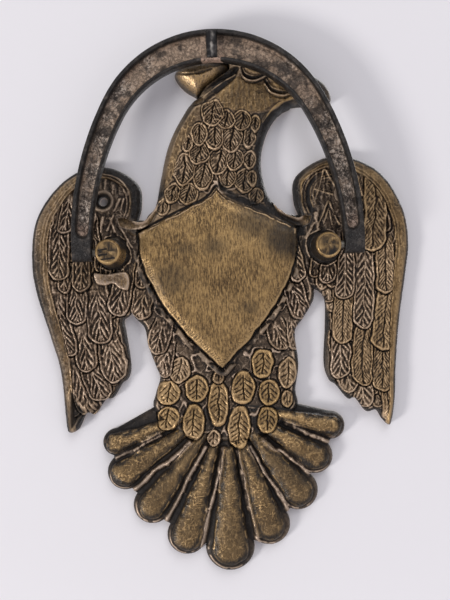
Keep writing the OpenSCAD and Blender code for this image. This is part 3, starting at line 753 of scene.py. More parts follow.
UNDER_LEFT = [(-88, 8), (-78, 27), (-68, 26), (-64, 4), (-46, -4), (-42, -22), (-50, -34), (-49, -60),
              (-70, -78), (-76, -78), (-79, -50)]
UNDER_RIGHT = [(88, 8), (80, 28), (70, 32), (66, 6), (48, -6), (46, -16), (54, -30), (54, -62), (70, -76),
               (82, -80), (84, -50)]
NECK_NET = [(-27, 22), (-21, 48), (-12, 66), (0, 72), (20, 66), (23, 50), (20, 36), (26, 20), (0, 0)]
NECK_STROKES = [[(8, 73), (0.5, 72.5), (-4, 68.5)], [(6.5, 70.5), (0, 70), (-5.5, 65.5)],
                [(-6.5, 62.5), (-2, 68), (4, 66)], [(-3, 60.5), (0.5, 65), (6, 62)]]
LEFT_NECK = [(-26, 34), (-21, 50), (-16, 61), (-8, 71), (-12, 60), (-17.5, 51), (-21, 40), (-24.5, 32)]
RIBBONS = [[(-49.4, 17.4), (-46.5, 15.2), (-43, 14.1), (-39, 13.7), (-35.5, 15), (-32.4, 18.4),
           (-29.6, 23.4)], [(46.5, 15.5), (43, 13.6), (39, 13.4), (35, 15), (31.5, 18), (28, 23)]]
TIP_HOLLOW = [(-75.8, -67), (-72.6, -73.5), (-69.8, -78.5), (-73.5, -84), (-76.6, -86.8), (-77, -78)]
PLAIN_PATCH = [(-62.5, -9), (-56, -9.6), (-47, -8.8), (-44.4, -12.5), (-45.5, -18.4), (-50, -17.6),
               (-53, -15.2), (-57, -16), (-61.5, -14.6)]


def lay_feathers():
    """A net of ridges on the body and neck, and all the feathers over it, from the lowest up."""
    for outline in (BODY, NECK_NET):
        area, d = patch(curve(outline))
        ridge = bump(NET[area], 0.4) * step01((d - 2.5) / 1.5)
        height[area] += 1.1 * ridge
        lay(area, ridge, gold=0.0, soot=0.0)
    ground[:] = np.minimum(blur(height, 1.5), height + 0.3)
    under_feathers(UNDER_LEFT, -4)
    under_feathers(UNDER_RIGHT, 2)
    for groups, lift, grown in ((WING_FEATHERS, 0.9, 1.0), (BODY_FEATHERS, 1.1, 1.0),
                                (NECK_FEATHERS, 0.5, 1.12)):
        feathers = [(*place, style) for style, places in groups.items() for place in places]
        for x, z, length, width, lean, style in sorted(feathers, key=lambda f: f[1] - f[2] / 2):
            feather(x, z, length * grown, width * grown, lean, style, lift)


def paint_ribbons():
    """Smooth pale ribbons that run from the webs up to the neck."""
    for ribbon in RIBBONS:
        line = curve(ribbon, 6, False)
        area = around(line, 4)
        gap, share = near_line(line, area)
        wide = 2.5 * (1 - 0.75 * share ** 2) * step01(share * 6 + 0.3)
        mask = step01((wide - gap) / 0.5)
        lay(area, mask, height=5.6 + 2.4 * share - 0.8 * bump(gap, 2.5), gold=0.05, soot=0.0, shine=0.3)
        lay(area, bump(gap - wide - 0.5, 0.8), soot=0.8)


def sculpt_plate():
    """Fills the fields: heights and tints of the whole front."""
    paint_webs()
    paint_wings()
    area, d = mass(BODY, BODY_TOP, 2.6, 0.2, 0.95)
    lay(area, cover(d), soot=np.maximum(soot[area], 0.45))
    height[area] += 0.5 * bump(d - 2.4, 0.6)
    lay(area, bump(d - 2.4, 0.6), soot=0.1)
    paint_tail()
    paint_neck()
    paint_head()
    height[:] += 0.35 * bump(CURL, 0.3) * (soot > 0.3) * (height > 4) * (Z > -98)
    lay_feathers()
    for points in NECK_STROKES:
        stroke(points, 0.6, 0.7, gold=0.3, soot=0.0)
    # The left neck is scored and worn golden, with a dark edge
    area, d = patch(curve(LEFT_NECK), 2)
    scored = bump(STREAK[area], 0.55)
    dark_edge = 0.85 * step01((3.4 + 0.5 * ROUGH[area] - depth_in(curve(NECK), area)) / 1.2)
    lay(area, step01((d + 1) / 1.5), height=ground[area] + 0.2 * scored, gold=0.7,
        soot=np.maximum(0.48 - 0.45 * scored, dark_edge))
    paint_scrolls()
    paint_ribbons()
    paint_seats()
    paint_shield()
    # Dark hollow at the left wing's tip
    area, d = patch(curve(TIP_HOLLOW), 2)
    height[area] -= 1.6 * step01(d / 2) * (height[area] > 0)
    height[area] += 0.5 * bump(d + 0.6, 0.6) * (height[area] > 0)
    lay(area, step01(d / 0.8), gold=0.2, soot=0.75)
    # Plain patch under the left post
    area, d = patch(curve(PLAIN_PATCH))
    lay(area, step01(d / 0.8), height=7.9 + 0.12 * CLOUD[area], gold=0.0, soot=0, shine=0.4)
    # Patchy dirt, and painted shade down the right side of the neck
    neck_right_shade = step01((X - 5) / 12) * step01((Z - 18) / 8) * step01((66 - Z) / 8) * (X < 40)
    soot[:] = np.clip(soot + 0.1 * CLOUD * (shine < 0.3) + 0.3 * neck_right_shade, 0, 1)
    # Cast roughness, less where the metal is polished
    height[:] += (0.10 * ROUGH + 0.05 * GRAIN) * (1 - 0.85 * shine) * (height > 0)


def plate_depth():
    """Distance inside the whole plate's outline, with the screw holes open."""
    shapes = [curve(LEFT_EDGE + LEFT_INNER), curve(RIGHT_EDGE + RIGHT_INNER), curve(BODY, 4), curve(NECK, 4),
              curve(HEAD, 4), TAIL_FILL, WEB, [(-x, z) for x, z in WEB],
              *[lobe_outline(tip, 0) for tip in TAIL_TIPS]]
    best = np.full(X.shape, -1e3)
    for points in shapes:
        area, d = patch(points, 2)
        best[area] = np.maximum(best[area], d)
    for x, z in SCREWS:
        best = np.minimum(best, np.hypot(X - x, Z - z) - SCREW_R)
    return best


def wear_field(solid):
    """1 on raised edges that are rubbed bright, 0 in hollows, from the shape itself."""
    solid = solid.astype(float)
    out = 0.5 * np.ones_like(X)
    for radius, gain in ((0.55, 1.0), (1.6, 0.42)):
        mean = blur(height * solid, radius) / np.maximum(blur(solid, radius), 0.05)
        out += gain * (height - mean)
    return np.clip(out, 0, 1)


def front_mesh(depth):
    """The sculpted front: a mask of the grid places used, their points, and the quads between them."""
    rows, cols = X.shape
    cell = (depth[:-1, :-1] + depth[1:, :-1] + depth[:-1, 1:] + depth[1:, 1:]) / 4 > 0
    near = np.zeros((4, rows, cols), bool)
    for k, (di, dj) in enumerate(((0, 0), (0, 1), (1, 0), (1, 1))):
        near[k, di:di + rows - 1, dj:dj + cols - 1] = cell
    used = near.any(0)
    # Places on the border move sideways onto the outline, and stay at the thickness of the edge
    border = used & ~near.all(0)
    push_z, push_x = np.gradient(depth, STEP)
    scale = np.clip(depth, -STEP, STEP) * border / np.maximum(np.hypot(push_x, push_z), 0.5) ** 2
    level = np.maximum(height, RIM_T)
    level = np.where(border, np.minimum(level, RIM_T + 0.3), level)
    for x, z in SCREWS:
        level = np.where(np.hypot(X - x, Z - z) < SCREW_R + 1, np.maximum(height, 3), level)
    index = -np.ones(X.shape, int)
    index[used] = np.arange(used.sum())
    i, j = np.nonzero(cell)
    quads = np.column_stack([index[i, j], index[i, j + 1], index[i + 1, j + 1], index[i + 1, j]])
    points = np.column_stack([(X - scale * push_x)[used], -level[used], (Z - scale * push_z)[used]])
    return used, points, quads


def fill_back(places, cuts):
    """Triangles between the closed loops of cuts, as numbers of places, facing the door."""
    made, _, faces, kept, _, _ = geometry.delaunay_2d_cdt([Vector(p) for p in places], cuts, [], 1, 1e-6)
    flat = np.array([tuple(p) for p in made])
    triangles = np.array([f for f in faces if len(f) == 3])
    x, z = flat[triangles].mean(1).T
    starts, ends = places[np.array(cuts)].swapaxes(0, 1)
    source = np.array([k[0] for k in kept])
    return source[triangles[within(x, z, starts, ends)][:, ::-1]]


def plate_mesh():
    """A closed mesh: the sculpted front, its side walls, and a flat back with a recess behind each post."""
    depth = plate_depth()
    used, front, quads = front_mesh(depth)
    starts, ends = quads.ravel(), np.roll(quads, -1, 1).ravel()
    size = len(front)
    # The border's edges belong to one quad only
    edge = ~np.isin(starts * size + ends, ends * size + starts)
    a, b = starts[edge], ends[edge]
    loop = np.unique(np.concatenate([a, b]))
    low = -np.ones(size, int)
    low[loop] = size + np.arange(len(loop))
    back = front[loop] * (1, 0, 1)
    walls = np.column_stack([b, a, low[a], low[b]])
    # The back plane is cut by the outline, the screw holes and the recesses
    turns = np.arange(RECESS_SIDES) * 2 * math.pi / RECESS_SIDES
    recesses = [np.column_stack([side * POST_X + RECESS_R * np.cos(turns), RECESS_R * np.sin(turns)])
                for side in (-1, 1)]
    base = len(back)
    cuts = list(zip((low[a] - size).tolist(), (low[b] - size).tolist()))
    ring_walls, floors, floor_faces = [], [], []
    for k, recess in enumerate(recesses):
        first, deep = base + RECESS_SIDES * k, size + base + RECESS_SIDES * (2 + k)
        steps = [(n, (n + 1) % RECESS_SIDES) for n in range(RECESS_SIDES)]
        cuts += [(first + n, first + m) for n, m in steps]
        ring_walls += [(size + first + n, deep + n, deep + m, size + first + m) for n, m in steps]
        floors.append(np.insert(recess, 1, -RECESS_DEPTH, 1))
        floor_faces.append([deep + n for n in range(RECESS_SIDES)][::-1])
    triangles = fill_back(np.concatenate([back[:, (0, 2)], *recesses]), cuts) + size
    vertices = np.concatenate([front, back, *(np.insert(recess, 1, 0, 1) for recess in recesses), *floors])
    faces = [tuple(f) for part in (quads, walls, triangles) for f in part.tolist()]
    faces += ring_walls + floor_faces
    kinds = np.zeros(len(faces), int)
    kinds[len(quads) + len(walls):] = 1
    # The walls and the back are dark
    others = len(vertices) - size
    fields = {name: np.append(field[used], np.full(others, rest))
              for name, field, rest in (("wear_and_highlight", wear_field(depth > -STEP), 0.3), ("gold", gold, 0.3),
                                        ("soot", soot, 0.8), ("shine", shine, 0.3))}
    return vertices, faces, fields, kinds


def loft_faces(rows, count):
    """Quads between rings of count points each, and a face over either end."""
    starts = [row * count for row in range(rows)]
    faces = [(a + j, a + (j + 1) % count, b + (j + 1) % count, b + j)
             for a, b in zip(starts, starts[1:]) for j in range(count)]
    return faces + [tuple(range(count))[::-1], tuple(starts[-1] + j for j in range(count))]


def add_mesh(name, vertices, faces, fields=None, kinds=None):
    """A smooth-shaded object from points in mm, with its point attributes."""
    mesh = bpy.data.meshes.new(name)
    mesh.from_pydata((np.asarray(vertices, float) * MM).tolist(), [], faces)
    mesh.update()
    for key, values in (fields or {}).items():
        values = np.asarray(values, np.float32).ravel()
        mesh.attributes.new(key, "FLOAT", "POINT").data.foreach_set("value", values)
    if kinds is not None:
        mesh.polygons.foreach_set("material_index", np.asarray(kinds, np.int32))
    mesh.polygons.foreach_set("use_smooth", np.ones(len(mesh.polygons), bool))
    piece = bpy.data.objects.new(name, mesh)
    bpy.context.collection.objects.link(piece)
    return piece


# ---------- materials ----------

class Paint:
    """A small helper to build node materials."""

    def __init__(self, name, metallic, roughness):
        self.material = bpy.data.materials.new(name)
        self.material.use_nodes = True
        self.nodes = self.material.node_tree.nodes
        self.links = self.material.node_tree.links
        self.shader = self.nodes["Principled BSDF"]
        self.shader.inputs["Metallic"].default_value = metallic
        self.shader.inputs["Roughness"].default_value = roughness

    def put(self, socket, value):
        if hasattr(value, "is_output"):
            self.links.new(value, socket)
        elif isinstance(value, tuple) and len(value) == 3 and socket.type == "RGBA":
            socket.default_value = (*value, 1)
        else:
            socket.default_value = value

    def attribute(self, name):
        node = self.nodes.new("ShaderNodeAttribute")
        node.attribute_name = name
        return node.outputs["Fac"]

    def math(self, what, *values, clamp=False):
        node = self.nodes.new("ShaderNodeMath")
        node.operation, node.use_clamp = what, clamp
        for socket, value in zip(node.inputs, values):
            self.put(socket, value)
        return node.outputs[0]

    def times(self, a, b, clamp=False):
        return self.math("MULTIPLY", a, b, clamp=clamp)

    def plus(self, a, b, clamp=False):
        return self.math("ADD", a, b, clamp=clamp)

    def mix(self, share, a, b):
        node = self.nodes.new("ShaderNodeMix")
        node.data_type = "RGBA"
        self.put(node.inputs[0], share)
        self.put(node.inputs[6], a)
        self.put(node.inputs[7], b)
        return node.outputs[2]

    def ramp(self, value, *stops):
        """Stops are (place, colour or grey)."""
        node = self.nodes.new("ShaderNodeValToRGB")
        self.put(node.inputs[0], value)
        elements = node.color_ramp.elements
        while len(elements) < len(stops):
            elements.new(0.5)
        for element, (place, tone) in zip(elements, stops):
            element.position = place
            element.color = (tone, tone, tone, 1) if isinstance(tone, (int, float)) else (*tone, 1)
        return node.outputs[0]

    def noise(self, scale, detail=4.0, stretch=(1, 1, 1), rough=0.55):
        place = self.nodes.new("ShaderNodeTexCoord")
        mapping = self.nodes.new("ShaderNodeMapping")
        mapping.inputs["Scale"].default_value = stretch
        self.links.new(place.outputs["Object"], mapping.inputs["Vector"])
        node = self.nodes.new("ShaderNodeTexNoise")
        self.links.new(mapping.outputs[0], node.inputs["Vector"])
        node.inputs["Scale"].default_value = scale
        node.inputs["Detail"].default_value = detail
        node.inputs["Roughness"].default_value = rough
        return node.outputs["Fac"]

    def bump(self, height, distance, strength=1.0):
        node = self.nodes.new("ShaderNodeBump")
        self.put(node.inputs["Height"], height)
        node.inputs["Distance"].default_value = distance
        node.inputs["Strength"].default_value = strength
        self.links.new(node.outputs[0], self.shader.inputs["Normal"])

    def finish(self, colour, roughness=None):
        self.put(self.shader.inputs["Base Color"], colour)
        if roughness is not None:
            self.put(self.shader.inputs["Roughness"], roughness)
        return self.material


def rgb(r, g, b):
    """An sRGB colour of 0 to 255 in linear light."""
    return tuple(((c / 255 + 0.055) / 1.055) ** 2.4 if c > 10 else c / 255 / 12.92 for c in (r, g, b))


CHARCOAL = rgb(25, 22, 21)
UMBER = rgb(42, 33, 27)
TAN_MID, TAN_LIGHT = rgb(98, 81, 67), rgb(192, 170, 150)
GOLD_MID, GOLD_LIGHT = rgb(124, 98, 62), rgb(188, 154, 102)


def aged_brass():
    """Cast brass: bright on its raised edges, dark in its hollows, sooty on its slopes. The dark also holds
    painted shade, and polished places get a painted sheen and glints.
    """
    p = Paint("aged_brass", 0.55, 0.45)
    p.shader.inputs["Specular IOR Level"].default_value = 0.35
    wear_and_highlight, tint, dark, polish = (p.attribute(n) for n in ("wear_and_highlight", "gold", "soot", "shine"))
    patches = p.noise(60, 5)
    specks = p.noise(1100, 4, rough=0.65)
    brushed = p.noise(1500, 2, (1, 1, 0.22), rough=0.65)
    level = p.plus(wear_and_highlight, p.math("MULTIPLY_ADD", patches, 0.5, -0.25))
    level = p.plus(level, p.math("MULTIPLY_ADD", specks, 0.9, -0.45), True)
    mid = p.mix(tint, TAN_MID, GOLD_MID)
    light = p.mix(tint, TAN_LIGHT, GOLD_LIGHT)
    to_mid = p.ramp(level, (0.16, 0.0), (0.5, 1.0))
    to_light = p.ramp(level, (0.5, 0.0), (0.86, 1.0))
    colour = p.mix(to_light, p.mix(to_mid, UMBER, mid), light)
    # Painted sheen and glints of GOLD_LIGHT where the metal is polished
    sheen = p.times(polish, p.ramp(p.noise(55, 3), (0.35, 0.0), (0.65, 0.45)))
    colour = p.mix(sheen, colour, GOLD_LIGHT)
    scratch = p.times(p.ramp(brushed, (0.34, 1.0), (0.48, 0.0)), p.times(polish, 0.75))
    colour = p.mix(scratch, colour, UMBER)
    glint = p.times(p.ramp(brushed, (0.5, 0.0), (0.64, 1.0)), p.times(polish, 0.85))
    colour = p.mix(glint, colour, GOLD_LIGHT)
    # Charcoal over soot, and over painted shade
    grime_and_shade = p.times(dark, p.plus(0.75, p.times(specks, 0.5)), True)
    colour = p.mix(grime_and_shade, colour, CHARCOAL)
    rough = p.math("MULTIPLY_ADD", polish, -0.16, 0.5)
    rough = p.plus(rough, p.times(p.math("SUBTRACT", 0.5, level), 0.25))
    rough = p.plus(rough, p.times(dark, 0.08), True)
    p.put(p.shader.inputs["Metallic"], p.math("SUBTRACT", 0.6, p.times(dark, 0.45)))
    p.bump(p.plus(p.times(specks, 0.7), p.times(brushed, 0.5)), 0.0003, 0.7)
    return p.finish(colour, rough)


def cast_back():
    """The plate's unpolished back: blotchy brown brass."""
    p = Paint("cast_back", 0.55, 0.55)
    level = p.math("MULTIPLY_ADD", p.noise(45, 6), 0.6, p.times(p.noise(500, 5), 0.4))
    colour = p.ramp(level, (0.3, UMBER), (0.5, GOLD_MID), (0.72, TAN_LIGHT))
    p.bump(p.noise(350, 5), 0.0006, 0.8)
    return p.finish(colour, p.ramp(level, (0.3, 0.7), (0.7, 0.45)))


def plain_metal(name, dark, light, metallic, roughness):
    """Steel with a fine mottle."""
    p = Paint(name, metallic, roughness)
    level = p.noise(300, 6)
    colour = p.ramp(level, (0.35, dark), (0.65, light))
    p.bump(p.noise(900, 4), 0.0001, 0.5)
    return p.finish(colour, p.ramp(level, (0.3, min(roughness + 0.15, 1)), (0.7, roughness)))


# ---------- pieces ----------

def make_plate():
    """The eagle plate as one casting."""
    sculpt_plate()
    vertices, faces, fields, kinds = plate_mesh()
    piece = add_mesh("plate_cast", vertices, faces, fields, kinds)
    piece.data.set_sharp_from_angle(angle=math.radians(75))
    piece.data.materials.append(aged_brass())
    piece.data.materials.append(cast_back())
    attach(piece, "plate")
    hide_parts("eagle_plate")


# ---------- bail ----------

# In mm, in the bail's upright frame: Y from the middle of its thickness, Z from the pins
BAIL_TOP, BAIL_BAND, BAIL_T, HOLLOW = 107, 15.8, 8.5, 4
OUTER_R, INNER_R, OUTER_LEG_R, INNER_LEG_R = 60, 50.4, 150, 137.6
INNER_RIM, OUTER_RIM = 1.7, 2.3
STRIKER_W, STRIKER_PROUD, STRIKER_FACE_R = 5, 1.4, 3.4
STRIKER_LOW, STRIKER_TOP = BAIL_TOP - BAIL_BAND + 1.3, BAIL_TOP - 1.5
STRIKER_FOOT = HOLLOW - BAIL_T / 2 + 0.5
BRAZE_HALF, BRAZE_Z, CROWN_Z = 6, 94.6, 80
PIN_CLEAR = 0.05
LEG_TURN = math.radians(28)            # where the top arc meets the leg arc
REST_LEAN = math.radians(3)
CAP_TURN = 88                          # degrees of the rounded ends
BAIL_STEPS, CAP_STEPS = 190, 10
SOLID_END, HOLLOW_RAMP = 0.042, 0.035  # shares of the edge's length


def edge_point(share, r, top, leg_r):
    """A point on an edge of the bail, from its top (0) to the height of the pins (1)."""
    z = top - r
    mid_x, mid_z = -(leg_r - r) * math.cos(LEG_TURN), z - (leg_r - r) * math.sin(LEG_TURN)
    top_run = r * (math.pi / 2 - LEG_TURN)
    leg_run = leg_r * (LEG_TURN - math.asin(-mid_z / leg_r))
    run = share * (top_run + leg_run)
    if run < top_run:
        return np.array([r * math.sin(run / r), z + r * math.cos(run / r)])
    turn = LEG_TURN - (run - top_run) / leg_r
    return np.array([mid_x + leg_r * math.cos(turn), mid_z + leg_r * math.sin(turn)])


def bail_section(width, hollow):
    """Points across the band: distance from the inner edge, Y, and 1 on the hollow's floor."""
    h = BAIL_T / 2
    out = [(s, k * h, 0) for s, k in ((0, -0.55), (0.12, -0.78), (0.4, -0.95), (0.8, -1),
                                      (INNER_RIM - 0.4, -1))]
    out += [(INNER_RIM + s, hollow * k - h, k) for s, k in ((0, 0.08), (0.25, 0.45), (0.6, 0.85))]
    floor_from, floor_to = INNER_RIM + 1.1, width - OUTER_RIM - 1.1
    out += [(s, hollow - h, 1) for s in np.linspace(floor_from, floor_to, 17)]
    out += [(width - OUTER_RIM - s, hollow * k - h, k) for s, k in ((0.6, 0.85), (0.25, 0.45), (0, 0.08))]
    out += [(width - s, k * h, 0) for s, k in ((OUTER_RIM - 0.4, -1), (1.2, -1), (0.7, -0.99), (0.4, -0.95),
                                               (0.12, -0.78), (0, -0.55), (0, -0.2), (0, 0.2))]
    back = [(0.03, 0.5), (0.08, 0.72), (0.16, 0.87), (0.28, 0.96), (0.4, 0.99), (0.5, 1)]
    out += [(width * (1 - s), k * h, 0) for s, k in back]
    out += [(width * s, k * h, 0) for s, k in back[-2::-1]]
    return out + [(0, 0.2 * h, 0), (0, -0.2 * h, 0)]


def lean_back(points):
    """From the bail's upright frame to its rest place against the head."""
    x, y, z = np.asarray(points, float).T
    c, s = math.cos(REST_LEAN), math.sin(REST_LEAN)
    return np.column_stack([x, y * c + z * s - PIN_DEPTH, z * c - y * s])


def bail_mesh():
    """The bail upright: its points in rings from end to end, its faces, and its point fields."""
    shares = np.linspace(-1, 1, 2 * BAIL_STEPS + 1)
    rings, floors, ends = [], [], []
    for share in shares:
        u, side = abs(share), -1 if share < 0 else 1
        a = edge_point(u, INNER_R, BAIL_TOP - BAIL_BAND, INNER_LEG_R)
        b = edge_point(u, OUTER_R, BAIL_TOP, OUTER_LEG_R)
        width = np.hypot(*(b - a))
        near_end = (1 - SOLID_END - u) / HOLLOW_RAMP
        hollow = HOLLOW * step01(near_end * 2)
        s, y, floor = np.array(bail_section(width, hollow)).T
        # The hollow's end is rounded
        corner = 1 - np.abs(2 * (s - INNER_RIM) / (width - INNER_RIM - OUTER_RIM) - 1)
        deep = step01(near_end * 1.2 - 1.1 * (1 - quarter(corner * 0.9)))
        x, z = a[:, None] + (b - a)[:, None] * s / width
        rings.append(np.column_stack([side * x, y - floor * hollow * (1 - deep), z]))
        floors.append(floor * deep * min(hollow / HOLLOW, 1))
        ends.append(np.full(len(s), bump(near_end - 1.0, 1.6)))
    rings, floors = np.array(rings), np.array(floors)
    shape = floors.shape
    # The floor of the hollow is rough, and it swells towards the striker bar
    rough = 0.16 * cell_noise(shape, 0.9) + 0.14 * cell_noise(shape, 2.2)
    near_bar = step01((6 - np.abs(rings[:, :, 0])) / 4) * (rings[:, :, 2] > CROWN_Z)
    rings[:, :, 1] += floors * (rough - 0.9 * near_bar)
    rings[:, :, 1] += (1 - floors) * 0.05 * cell_noise(shape, 1.6) * (rings[:, :, 1] < 0)
    # Rounded ends about the pins
    caps = {0: [], -1: []}
    for which, made in caps.items():
        for k in range(1, CAP_STEPS + 1):
            turn = math.radians(CAP_TURN * k / CAP_STEPS)
            ring = rings[which].copy()
            ring[:, 1] *= math.cos(turn)
            ring[:, 2] = -BAIL_T / 2 * math.sin(turn)
            made.append(ring)
    rings = np.concatenate([caps[0][::-1], rings, caps[-1]])
    pad = np.zeros((CAP_STEPS, shape[1]))
    floors, ends = np.concatenate([pad, floors, pad]), np.concatenate([pad, ends, pad])
    apex = 1 - np.abs(np.concatenate([-np.ones(CAP_STEPS), shares, np.ones(CAP_STEPS)]))
    ragged = 0.8 * cell_noise(floors.shape, 1.2)
    x, y, z = np.moveaxis(rings, 2, 0)
    braze = step01((BRAZE_HALF + ragged - np.abs(x)) / 1.2) * (z > CROWN_Z)
    braze *= step01((1.5 - y + 0.5 * ragged) / 2)
    low_side = step01((BRAZE_Z + 0.7 * ragged - z) / 1.2)
    fields = {"floor": np.maximum(floors, braze * low_side), "apex": np.repeat(apex, shape[1]),
              "braze": np.maximum(braze * np.maximum(low_side, 0.2), 0.7 * ends)}
    return rings.reshape(-1, 3), loft_faces(*floors.shape), fields


def tube(x0, x1, y, z, r, count=48):
    """A cylinder along X."""
    turns = np.arange(count) * 2 * math.pi / count
    circle = (y + r * np.cos(turns), z + r * np.sin(turns))
    ends = [np.column_stack([np.full(count, x), *circle]) for x in (x0, x1)]
    return np.concatenate(ends), loft_faces(2, count)


def block(low, high):
    """A box between two corners."""
    x, y, z = zip(low, high)
    corners = [(x[i], y[j], z[k]) for i in (0, 1) for j in (0, 1) for k in (0, 1)]
    return corners, [(0, 1, 3, 2), (4, 6, 7, 5), (0, 4, 5, 1), (2, 3, 7, 6), (0, 2, 6, 4), (1, 5, 7, 3)]


def recalculate(mesh):
    """Turns all faces outwards."""
    work = bmesh.new()
    work.from_mesh(mesh)
    bmesh.ops.recalc_face_normals(work, faces=work.faces)
    work.to_mesh(mesh)
    work.free()


def cut_away(piece, name, vertices, faces):
    """Takes the shape of a closed mesh out of a piece."""
    body = add_mesh(name, vertices, faces)
    recalculate(body.data)
    modifier = piece.modifiers.new("cut", "BOOLEAN")
    modifier.operation, modifier.solver, modifier.object = "DIFFERENCE", "EXACT", body
    made = bpy.data.meshes.new_from_object(piece.evaluated_get(bpy.context.evaluated_depsgraph_get()))
    piece.modifiers.clear()
    piece.data = made
    bpy.data.objects.remove(body)


def make_bail():
    """The bail, bored for the pins and slotted for the striker bar."""
    vertices, faces, fields = bail_mesh()
    piece = add_mesh("bail_cast", lean_back(vertices), faces, fields)
    recalculate(piece.data)
    cut_away(piece, "bore", *tube(-80, 80, -PIN_DEPTH, 0, PIN_R + PIN_CLEAR))
    corners, sides = block((-STRIKER_W / 2, -10, STRIKER_LOW), (STRIKER_W / 2, STRIKER_FOOT, STRIKER_TOP))
    cut_away(piece, "slot", lean_back(corners), sides)
    piece.data.polygons.foreach_set("use_smooth", np.ones(len(piece.data.polygons), bool))
    piece.data.set_sharp_from_angle(angle=math.radians(50))
    piece.data.materials.clear()
    piece.data.materials.append(bail_metal())
    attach(piece, "bail")
    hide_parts("bail")


def make_striker():
    """A half-round bar across the band, with uneven edges and rounded ends."""
    half, low, top, r = STRIKER_W / 2, STRIKER_LOW, STRIKER_TOP, STRIKER_FACE_R
    arc = np.linspace(-math.asin(half / r), math.asin(half / r), 13)
    front = r - BAIL_T / 2 - STRIKER_PROUD
    side = [(half, -3), (half, -1.5), (half, STRIKER_FOOT)]
    other_side = [(-x, y) for x, y in side[::-1]]
    section = np.array(other_side + [(r * math.sin(t), front - r * math.cos(t)) for t in arc] + side)
    levels = np.concatenate([low + np.array([0, 0.25, 0.7]), np.linspace(low + 1.4, top - 1.4, 22),
                             top - np.array([0.7, 0.25, 0])])
    wave = cell_noise((len(levels), len(section)), 1.3)
    rings, wear_and_highlight = [], []
    for z, swell in zip(levels, wave):
        shrink = 0.35 * (1 - quarter(min(z - low, top - z) / 0.7))
        ring = section.copy()
        ring[:, 0] *= 1 - shrink / half
        ring[:, 1] = np.where(ring[:, 1] < -2, ring[:, 1] + shrink, ring[:, 1])
        ring[3:-3, 1] += 0.12 * np.maximum(swell[3:-3], -0.5) + 0.06
        rings.append(np.column_stack([ring, np.full(len(ring), z)]))
        wear_and_highlight.append(step01((swell + 1.2) / 3) * 0.6 + 0.4 * bump(section[:, 0], 1.1))
    piece = add_mesh("striker", lean_back(np.concatenate(rings)), loft_faces(*wave.shape), {"wear_and_highlight": wear_and_highlight})
    recalculate(piece.data)
    piece.data.set_sharp_from_angle(angle=math.radians(50))
    piece.data.materials.append(striker_metal())
    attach(piece, "bail")
    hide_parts("striker_bar")


# ---------- posts and fixings ----------

# Radius and distance from the door of the post's turned profile, up to the edge of its face
POST_PROFILE = [(2.2, 0.4), (2.5, 0.7), (2.5, 9), (7, 9), (7, 9.8), (6.85, 10.2), (6.75, 12), (6.45, 18),
                (6.2, 22.5), (6.2, 24.0), (6.1, 24.8), (5.8, 25.4), (5.35, 25.72), (5.0, 25.66),
                (4.7, 25.6)]
POST_SIDES, FACE_RINGS, FACE_R, FACE_DEPTH, FACE_DOME = 96, 16, 4.7, 25.6, 0.36
# Marks cut in the left post's face: X from and to, Z from and to
LEFT_MARKS = [(-4.8, -0.2, 0.7, 1.4), (-4.4, -0.1, -1.7, -1.1), (-4.9, 3.4, -3.8, -3.0),
              (-4.0, -2.6, -0.1, 0.2)]


